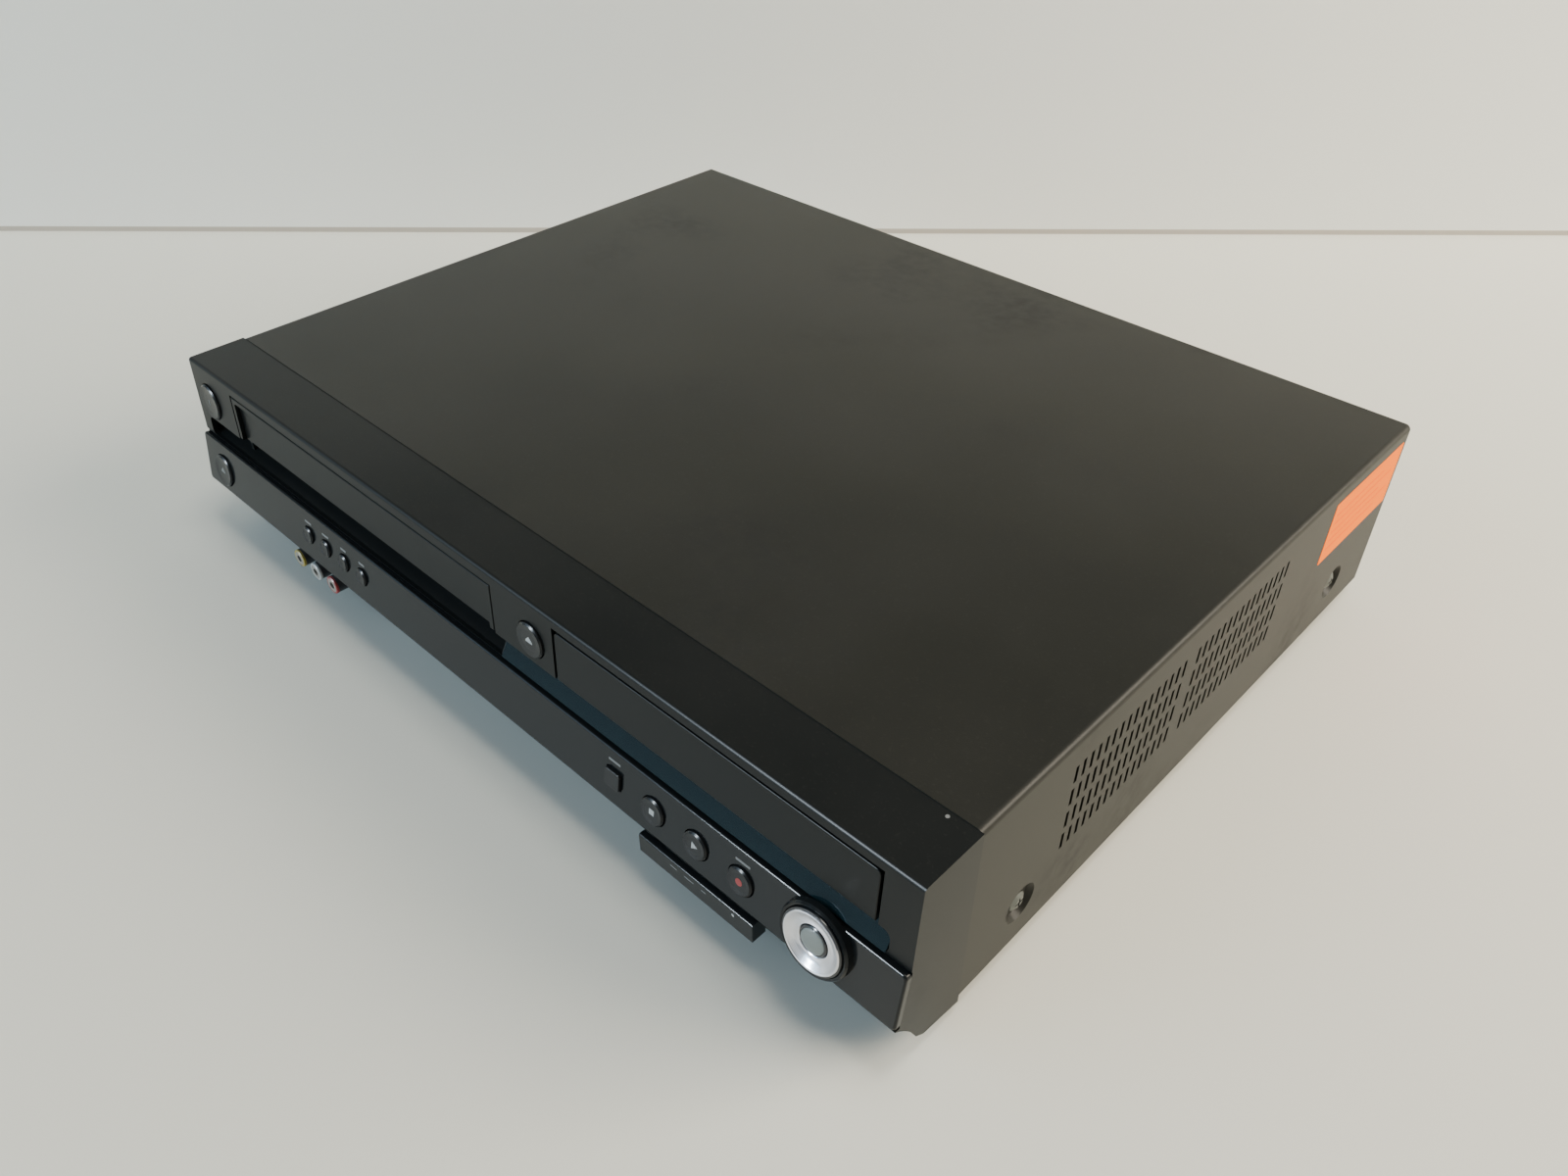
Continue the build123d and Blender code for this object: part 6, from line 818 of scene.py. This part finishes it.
# ------------------------ sub-assemblies
# What each CAD node wears
OUTFITS: dict[Look, str] = {
    Look.COVER: "top_cover",
    Look.REAR_PAINT: "rear_panel",
    Look.SCREW: "cover_screws",
    Look.RUBBER: "feet",
    Look.FRONT: "front_moulding cassette_door tray_fascia",
    Look.GLOSS: "lower_fascia dial_bezel jack_flap",
    Look.WINDOW: "display_window",
    Look.KEY: "power_button disc_open_button eject_button preset_button_1 preset_button_2 preset_button_3 "
              "preset_button_4 square_button stop_button play_button record_button",
    Look.SOCKET: "flap_sockets rear_sockets mains_inlet front_sockets",
    Look.TIN: "tuner_can",
    Look.INNER_BLACK: "drive_frame disc_tray clamper turntable pickup_sled",
    Look.INNER_WHITE: "tray_pinion lead_screw supply_reel take_up_reel carriage_sliders",
    Look.ZINC: "bottom_chassis clamper_bridge traverse_chassis deck_chassis cassette_holder carriage_frame "
               "pinch_arm",
    Look.STEEL: "tray_drive spindle_motor guide_rods deck_motors capstan supply_guide take_up_guide "
                "tape_path",
    Look.DRUM: "lower_drum upper_drum",
    Look.BOARD: "main_board power_board front_board",
    Look.RIBBON: "ribbon_cables"}


@dataclass
class Sticker:
    """The bare paper sticker on the cover's right side, with a few blank ruled bars, both given a painted
    glow.
    """

    span: Pair = (235.0, 300.0)
    drops: Pair = (6.8, 37.0)
    corner: float = 0.8
    paper: float = 0.12
    ink: float = 0.03
    line_count: int = 5
    line_pitch: float = 4.2
    line_height: float = 0.9
    first_line: float = 7.0
    text_share: float = 0.88
    line_shares: Pair = (0.7, 0.86)

    def build(self) -> None:
        """Lays the sheet and prints its bars."""
        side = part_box("top_cover")[1].x / MM
        width, height = self.span[1] - self.span[0], self.drops[1] - self.drops[0]
        place = axes(BACKWARD, UP, RIGHT, Case.point(side, sum(self.span) / 2, sum(self.drops) / 2))
        outline = rounded(width, height, self.corner, steps=5)
        Piece("side_sticker", Look.STICKER, "case", place).plate(outline, 0.0, self.paper)
        for line in range(self.line_count):
            length = width * self.line_shares[line % 2]
            left = (width * self.text_share - length) / 2
            rise = height / 2 - self.first_line - line * self.line_pitch
            bar = [(x - left, y + rise) for x, y in rounded(length, self.line_height, 0.2)]
            ink = Piece(f"sticker_bar_{line}", Look.STICKER_LINE, "case", place)
            ink.plate(bar, self.paper - 0.01, self.paper + self.ink)


@dataclass
class Front:
    """The printing on the front and the display behind its smoked window.

    The window's two edges are (behind the seam, drop). Labels are (x, drop, width), dots are (x, drop).
    """

    window: tuple[Pair, Pair] = ((-24.6, 28.4), (-29.4, 36.4))
    behind_window: float = 1.66
    display_span: Pair = (64.0, 162.0)
    digits: int = 12
    cell: Triple = (2.4, 0.35, 0.05)
    cell_spread: float = 3.0
    post: Triple = (0.35, 1.1, 0.05)
    post_spread: float = 1.5
    ink: float = 0.03
    key_labels: tuple[Triple, ...] = (
        (-120.4, 43.4, 5.2), (-106.1, 43.4, 5.2), (-91.6, 43.4, 4.2), (-77.3, 43.4, 4.2), (85.7, 42.3, 6.2),
        (148.6, 42.4, 6.6))
    flap_labels: tuple[Triple, ...] = ((118.5, 67.2, 3.4), (126.2, 67.2, 4.6), (133.4, 67.2, 2.2))
    flap_dot: Pair = (147.5, 66.6)
    moulding_dot: Pair = (203.4, -2.2)    # X and behind the seam

    def build(self) -> None:
        """Adds the display and the printing."""
        self._display()
        self._labels()
        self._dots()

    def _display(self) -> None:
        """Sets unlit display cells on the tube behind the window."""
        (top_y, top_drop), (foot_y, foot_drop) = self.window
        down = Vector((0, foot_y - top_y, top_drop - foot_drop)).normalized()
        normal = Vector((0, down.z, -down.y))
        middle = Case.point(sum(self.display_span) / 2, (top_y + foot_y) / 2, (top_drop + foot_drop) / 2)
        place = axes(RIGHT, -down, normal, middle - normal * self.behind_window * MM)
        width = self.display_span[1] - self.display_span[0]
        for name, columns, rows, spread, bar in (
                ("display_cells", self.digits, 3, self.cell_spread, self.cell),
                ("display_posts", self.digits * 2, 2, self.post_spread, self.post)):
            Piece(name, Look.PHOSPHOR, "case", place).bars(columns, rows, (width, spread), bar)

    def _labels(self) -> None:
        """Prints blank bars where the small keys and the flap carry their names."""
        for name, labels, slope, size, corner, body in (
                ("key_label", self.key_labels, FASCIA, 1.0, 0.2, "case"),
                ("flap_label", self.flap_labels, FLAP, 0.5, 0.15, "flap")):
            for number, (x, drop, width) in enumerate(labels):
                label = Piece(f"{name}_{number}", Look.DIM_MARK, body, slope.place(x, drop))
                label.plate(rounded(width, size, corner), 0.0, self.ink)

    def _dots(self) -> None:
        """Sets the light dot at the flap's end and the tiny one on top of the moulding."""
        Piece("flap_dot", Look.MARK, "flap", FLAP.place(*self.flap_dot)).plate(disc(0.65), 0.0, 0.04)
        point = Case.point(*self.moulding_dot, 0.0)
        point.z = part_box("front_moulding")[1].z
        Piece("moulding_dot", Look.DIM_MARK, "case", facing(point, UP)).plate(disc(0.7), -0.05, 0.06)


@dataclass
class Keys:
    """The push keys' plain symbols, each given as key, slope, x, drop, symbol and look."""

    proud: float = 0.95
    sink: float = 0.1
    marks: tuple[tuple[str, Slope, float, float, Symbol, Look], ...] = (
        ("power_button", UPPER, -201.0, 17.4, Symbol.LEVER, Look.DIM_MARK),
        ("disc_open_button", UPPER, 38.5, 17.0, Symbol.UP, Look.MARK),
        ("disc_open_button", UPPER, 38.5, 18.0, Symbol.BAR, Look.MARK),
        ("eject_button", FASCIA, -197.6, 51.0, Symbol.UP, Look.DIM_MARK),
        ("eject_button", FASCIA, -197.6, 52.0, Symbol.BAR, Look.DIM_MARK),
        ("stop_button", FASCIA, 106.4, 50.3, Symbol.SQUARE, Look.MARK),
        ("play_button", FASCIA, 127.6, 50.3, Symbol.PLAY, Look.MARK))
    record_place: Pair = (148.6, 50.3)
    record_radius: float = 1.5

    def build(self) -> None:
        """Prints every key's mark."""
        low, high = self.proud - self.sink, self.proud + self.sink
        for number, (name, slope, x, drop, symbol, look) in enumerate(self.marks):
            Piece(f"{name}_mark_{number}", look, name, slope.place(x, drop)).plate(symbol.value, low, high)
        dot = Piece("record_button_dot", Look.RED_MARK, "record_button", FASCIA.place(*self.record_place))
        dot.plate(disc(self.record_radius), low, high)


@dataclass
class Dial:
    """The polished ring that rocks in its bezel, its black skirt and its milky centre key.

    Radii are the skirt's, the metal face's and the hole's. Heights are above the fascia.
    """

    x: float = 182.0
    drop: float = 48.3
    radius: float = 12.3
    face: float = 11.5
    hole: float = 5.9
    top: float = 3.8
    dish: float = 1.3
    grooves: int = 9
    groove_depth: float = 0.035
    steps_per_groove: int = 4

    def build(self) -> None:
        """Replaces the ring and its key with finer turned shapes."""
        place = FASCIA.place(self.x, self.drop)
        ring = Piece("dial_polished_ring", Look.DIAL_METAL, "dial", place).turned(self._ring_profile(), 144)
        skirt = Piece("dial_skirt", Look.DIAL_SKIRT, "dial", place).turned(self._skirt_profile(), 128)
        for piece in (ring, skirt):
            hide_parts("dial_ring")
        centre = Piece("dial_milky_key", Look.DIAL_LENS, "dial_key", place).turned(self._centre_profile(), 96)
        collar = Piece("dial_key_collar", Look.DIAL_SKIRT, "dial_key", place).turned(
            self._collar_profile(), 96)
        for piece in (centre, collar):
            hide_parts("dial_centre")

    def _ring_profile(self) -> list[Pair]:
        """The metal face's section: a dish with fine turned grooves between two rounded lips."""
        face, hole, top = self.face, self.hole, self.top
        rim = [(face, top - 1.6), (face, top - 0.35), (face - 0.15, top - 0.1), (face - 0.4, top),
               (face - 0.8, top - 0.08)]
        outer, inner = face - 1.0, hole + 0.5
        steps = self.grooves * self.steps_per_groove
        dish = []
        for step in range(steps + 1):
            share = step / steps
            wave = self.groove_depth * math.cos(2 * math.pi * share * self.grooves)
            sag = self.dish * math.sin(share * math.pi / 2)
            dish.append((outer + (inner - outer) * share, top - 0.2 - sag + wave))
        lip = [(hole + 0.25, top - self.dish - 0.2), (hole, top - self.dish - 0.45), (hole, top - 2.2),
               (face - 2.0, top - 2.2)]
        return rim + dish + lip + [rim[0]]

    def _skirt_profile(self) -> list[Pair]:
        """The black skirt's section: a wall round the metal face, a floor below it and a stem."""
        radius, inside, hole, lip = self.radius, self.face + 0.02, self.hole, self.top - 0.45
        floor, stem_inner, stem_outer, foot = 1.5, 6.8, 8.3, -6.0
        wall = [(radius, floor + 0.2), (radius, lip - 0.45), (radius - 0.15, lip - 0.1), (radius - 0.4, lip),
                (inside, lip), (inside, self.top - 1.7), (self.face - 2.1, self.top - 2.25),
                (hole, self.top - 2.25)]
        stem = [(hole, floor), (stem_inner, floor - 0.1), (stem_inner, foot), (stem_outer, foot),
                (stem_outer, floor), (radius - 0.1, floor)]
        return wall + stem + [wall[0]]

    def _centre_profile(self) -> list[Pair]:
        """The milky lens's section: a low dome with a rounded foot."""
        return dome(4.4, 3.3, 0.45) + [(4.7, 2.7), (4.8, 2.4), (4.8, 1.4), (0.0, 1.4)]

    def _collar_profile(self) -> list[Pair]:
        """The key's black collar, flange and stem."""
        bore, collar, flange, stem, foot = 4.82, 5.6, 6.4, 1.8, -9.2
        return [(bore, 2.55), (5.3, 2.5), (collar, 2.2), (collar, 0.95), (flange, 0.95), (flange, -0.05),
                (stem, -0.05), (stem, foot), (0.0, foot), (0.0, 1.38), (bore, 1.38), (bore, 2.55)]


@dataclass
class Sockets:
    """The coloured collars and bright throats of the phono sockets under the fascia and on the rear."""

    front_xs: Triple = (-137.0, -122.8, -108.8)
    front_looks: tuple[Look, ...] = (Look.YELLOW, Look.WHITE, Look.RED)
    front_drop: float = 71.0
    front_tip: float = -34.0
    front_cover: float = 1.1
    rear_xs: Triple = (50.0, 66.0, 82.0)
    rear_drops: Pair = (65.5, 49.5)
    rear_first_looks: tuple[Look, ...] = (Look.WHITE, Look.YELLOW)
    rear_looks: tuple[Look, ...] = (Look.RED, Look.WHITE)
    rear_tip: float = 309.6
    rear_cover: float = 7.0
    barrel: float = 4.1
    sleeve_wall: float = 0.12
    throat: float = 3.3
    pin_hole: float = 1.6
    pin_depth: float = 6.0

    def build(self) -> None:
        """Sets a sleeve on each barrel."""
        for x, look in zip(self.front_xs, self.front_looks):
            place = facing(Case.point(x, self.front_tip, self.front_drop), -BACKWARD)
            self._sleeve(f"front_sleeve_{look.value.name}", look, place, self.front_cover)
        for x in self.rear_xs:
            looks = self.rear_first_looks if x == self.rear_xs[0] else self.rear_looks
            for drop, look in zip(self.rear_drops, looks):
                place = facing(Case.point(x, self.rear_tip, drop), BACKWARD)
                self._sleeve(f"rear_sleeve_{int(x)}_{int(drop)}", look, place, self.rear_cover)

    def _sleeve(self, name: str, look: Look, place: Matrix, cover: float) -> None:
        """Adds a coloured sleeve round a socket's barrel and its bright throat.

        Args:
            name: the piece's name.
            look: the sleeve's finish.
            place: the frame at the barrel's end whose Z points out of the socket.
            cover: how much of the barrel the sleeve covers, in millimetres.
        """
        barrel, bore, hole = self.barrel, self.throat, self.pin_hole
        skin = barrel + self.sleeve_wall
        sleeve = [(bore, 0.05), (3.9, 0.05), (skin, -0.25), (skin, -cover), (barrel, -cover), (barrel, -0.4),
                  (bore, -0.1), (bore, 0.05)]
        Piece(name, look, "case", place).turned(sleeve, 48)
        throat = [(hole + 0.03, 0.08), (bore, 0.08), (bore + 0.05, 0.0), (bore, -0.1), (hole + 0.03, -0.1),
                  (hole, -self.pin_depth), (hole + 0.03, 0.08)]
        Piece(name + "_throat", Look.THROAT, "case", place).turned(throat, 40)


@dataclass
class DiscDrive:
    """The disc drive's lens, rubber ring and screw thread. Places are (behind the seam, above the table)."""

    x: float = 126.25
    lens: Pair = (66.0, 66.9)
    lens_radius: float = 2.4
    rubber: Pair = (42.0, 69.2)
    rubber_radii: Pair = (9.0, 13.6)
    rubber_height: float = 0.32
    journal: float = 6.0
    thread_pitch: float = 10.0
    thread_radius: float = 1.45
    thread_wire: float = 0.33

    def build(self) -> None:
        """Adds the lens, the ring and the thread."""
        glass = dome(self.lens_radius, 0.06, 0.5) + [(self.lens_radius, -1.2), (0.0, -1.2)]
        seat = facing(Case.standing(self.x, *self.lens), UP)
        Piece("pickup_lens", Look.LENS_GLASS, "sled", seat).turned(glass, 48)
        (inner, outer), high = self.rubber_radii, self.rubber_height
        ring = [(inner, 0.0), (outer, 0.0), (outer + 0.2, 0.18), (outer - 0.2, high), (inner + 0.2, high),
                (inner, 0.0)]
        seat = facing(Case.standing(self.x, *self.rubber), UP)
        Piece("turntable_rubber", Look.RUBBER, "turntable", seat).turned(ring, 72)
        self._thread()

    def _thread(self) -> None:
        """Winds the thread round the pickup's screw, between its two journals."""
        low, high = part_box("lead_screw")
        length = high.y - low.y - 2 * self.journal * MM
        start = Vector(((low.x + high.x) / 2, low.y + self.journal * MM, (low.z + high.z) / 2))
        thread = Piece("lead_screw_thread", Look.INNER_WHITE, "screw", facing(start, BACKWARD))
        thread.grown(ThreadSweep, Turns=length / (self.thread_pitch * MM), Radius=self.thread_radius * MM,
                     Length=length, Wire=self.thread_wire * MM)


@dataclass
class Boards:
    """The legs of the main board's chips and its smallest parts.

    A chip is (x, behind the seam, width, depth, legs on a side), the first ones with legs on all four sides.
    A cluster is (x, behind the seam, columns, rows).
    """

    height: float = 15.6
    chips: tuple[tuple[float, float, float, float, int], ...] = (
        (120.0, 90.0, 28.0, 28.0, 20), (80.0, 60.0, 20.0, 20.0, 14), (150.0, 140.0, 22.0, 14.0, 12),
        (60.0, 230.0, 24.0, 18.0, 12))
    four_sided: int = 2
    leg: Triple = (0.45, 1.8, 0.5)
    leg_height: float = 0.35
    leg_reach: float = 1.4
    bare_end: float = 3.0
    clusters: tuple[tuple[float, float, int, int], ...] = (
        (100.0, 120.0, 9, 3), (150.0, 112.0, 8, 3), (84.0, 84.0, 7, 2), (120.0, 56.0, 10, 2),
        (60.0, 206.0, 8, 2))
    part: Triple = (1.2, 2.2, 0.6)
    part_pitches: Pair = (2.8, 3.6)

    def build(self) -> None:
        """Adds the legs and the parts."""
        for number, (x, y, width, depth, legs) in enumerate(self.chips):
            place = Matrix.Translation(Case.standing(x, y, self.height + self.leg_height))
            sides = [("chip_legs", place, width, depth)]
            if number < self.four_sided:
                sides.append(("chip_side_legs", place @ Matrix.Rotation(math.pi / 2, 4, "Z"), depth, width))
            for name, side, along, apart in sides:
                spread = (along - self.bare_end, apart + self.leg_reach)
                Piece(f"{name}_{number}", Look.TIN, "case", side).bars(legs, 2, spread, self.leg)
        for number, (x, y, columns, rows) in enumerate(self.clusters):
            place = Matrix.Translation(Case.standing(x, y, self.height + self.part[2] / 2))
            spread = ((columns - 1) * self.part_pitches[0], (rows - 1) * self.part_pitches[1])
            parts = Piece(f"small_parts_{number}", Look.INNER_BLACK, "case", place)
            parts.bars(columns, rows, spread, self.part)


def main() -> None:
    logging.basicConfig(level=logging.INFO, format="%(message)s")
    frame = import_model()
    Case.read(frame["nodes"])
    for look, names in OUTFITS.items():
        look.dress(*names.split())
    for part in (Studio(), Sticker(), Front(), Keys(), Dial(), Sockets(), DiscDrive(), Boards()):
        part.build()
        LOG.info("%s is built", type(part).__name__)


if __name__ == "__main__":
    main()
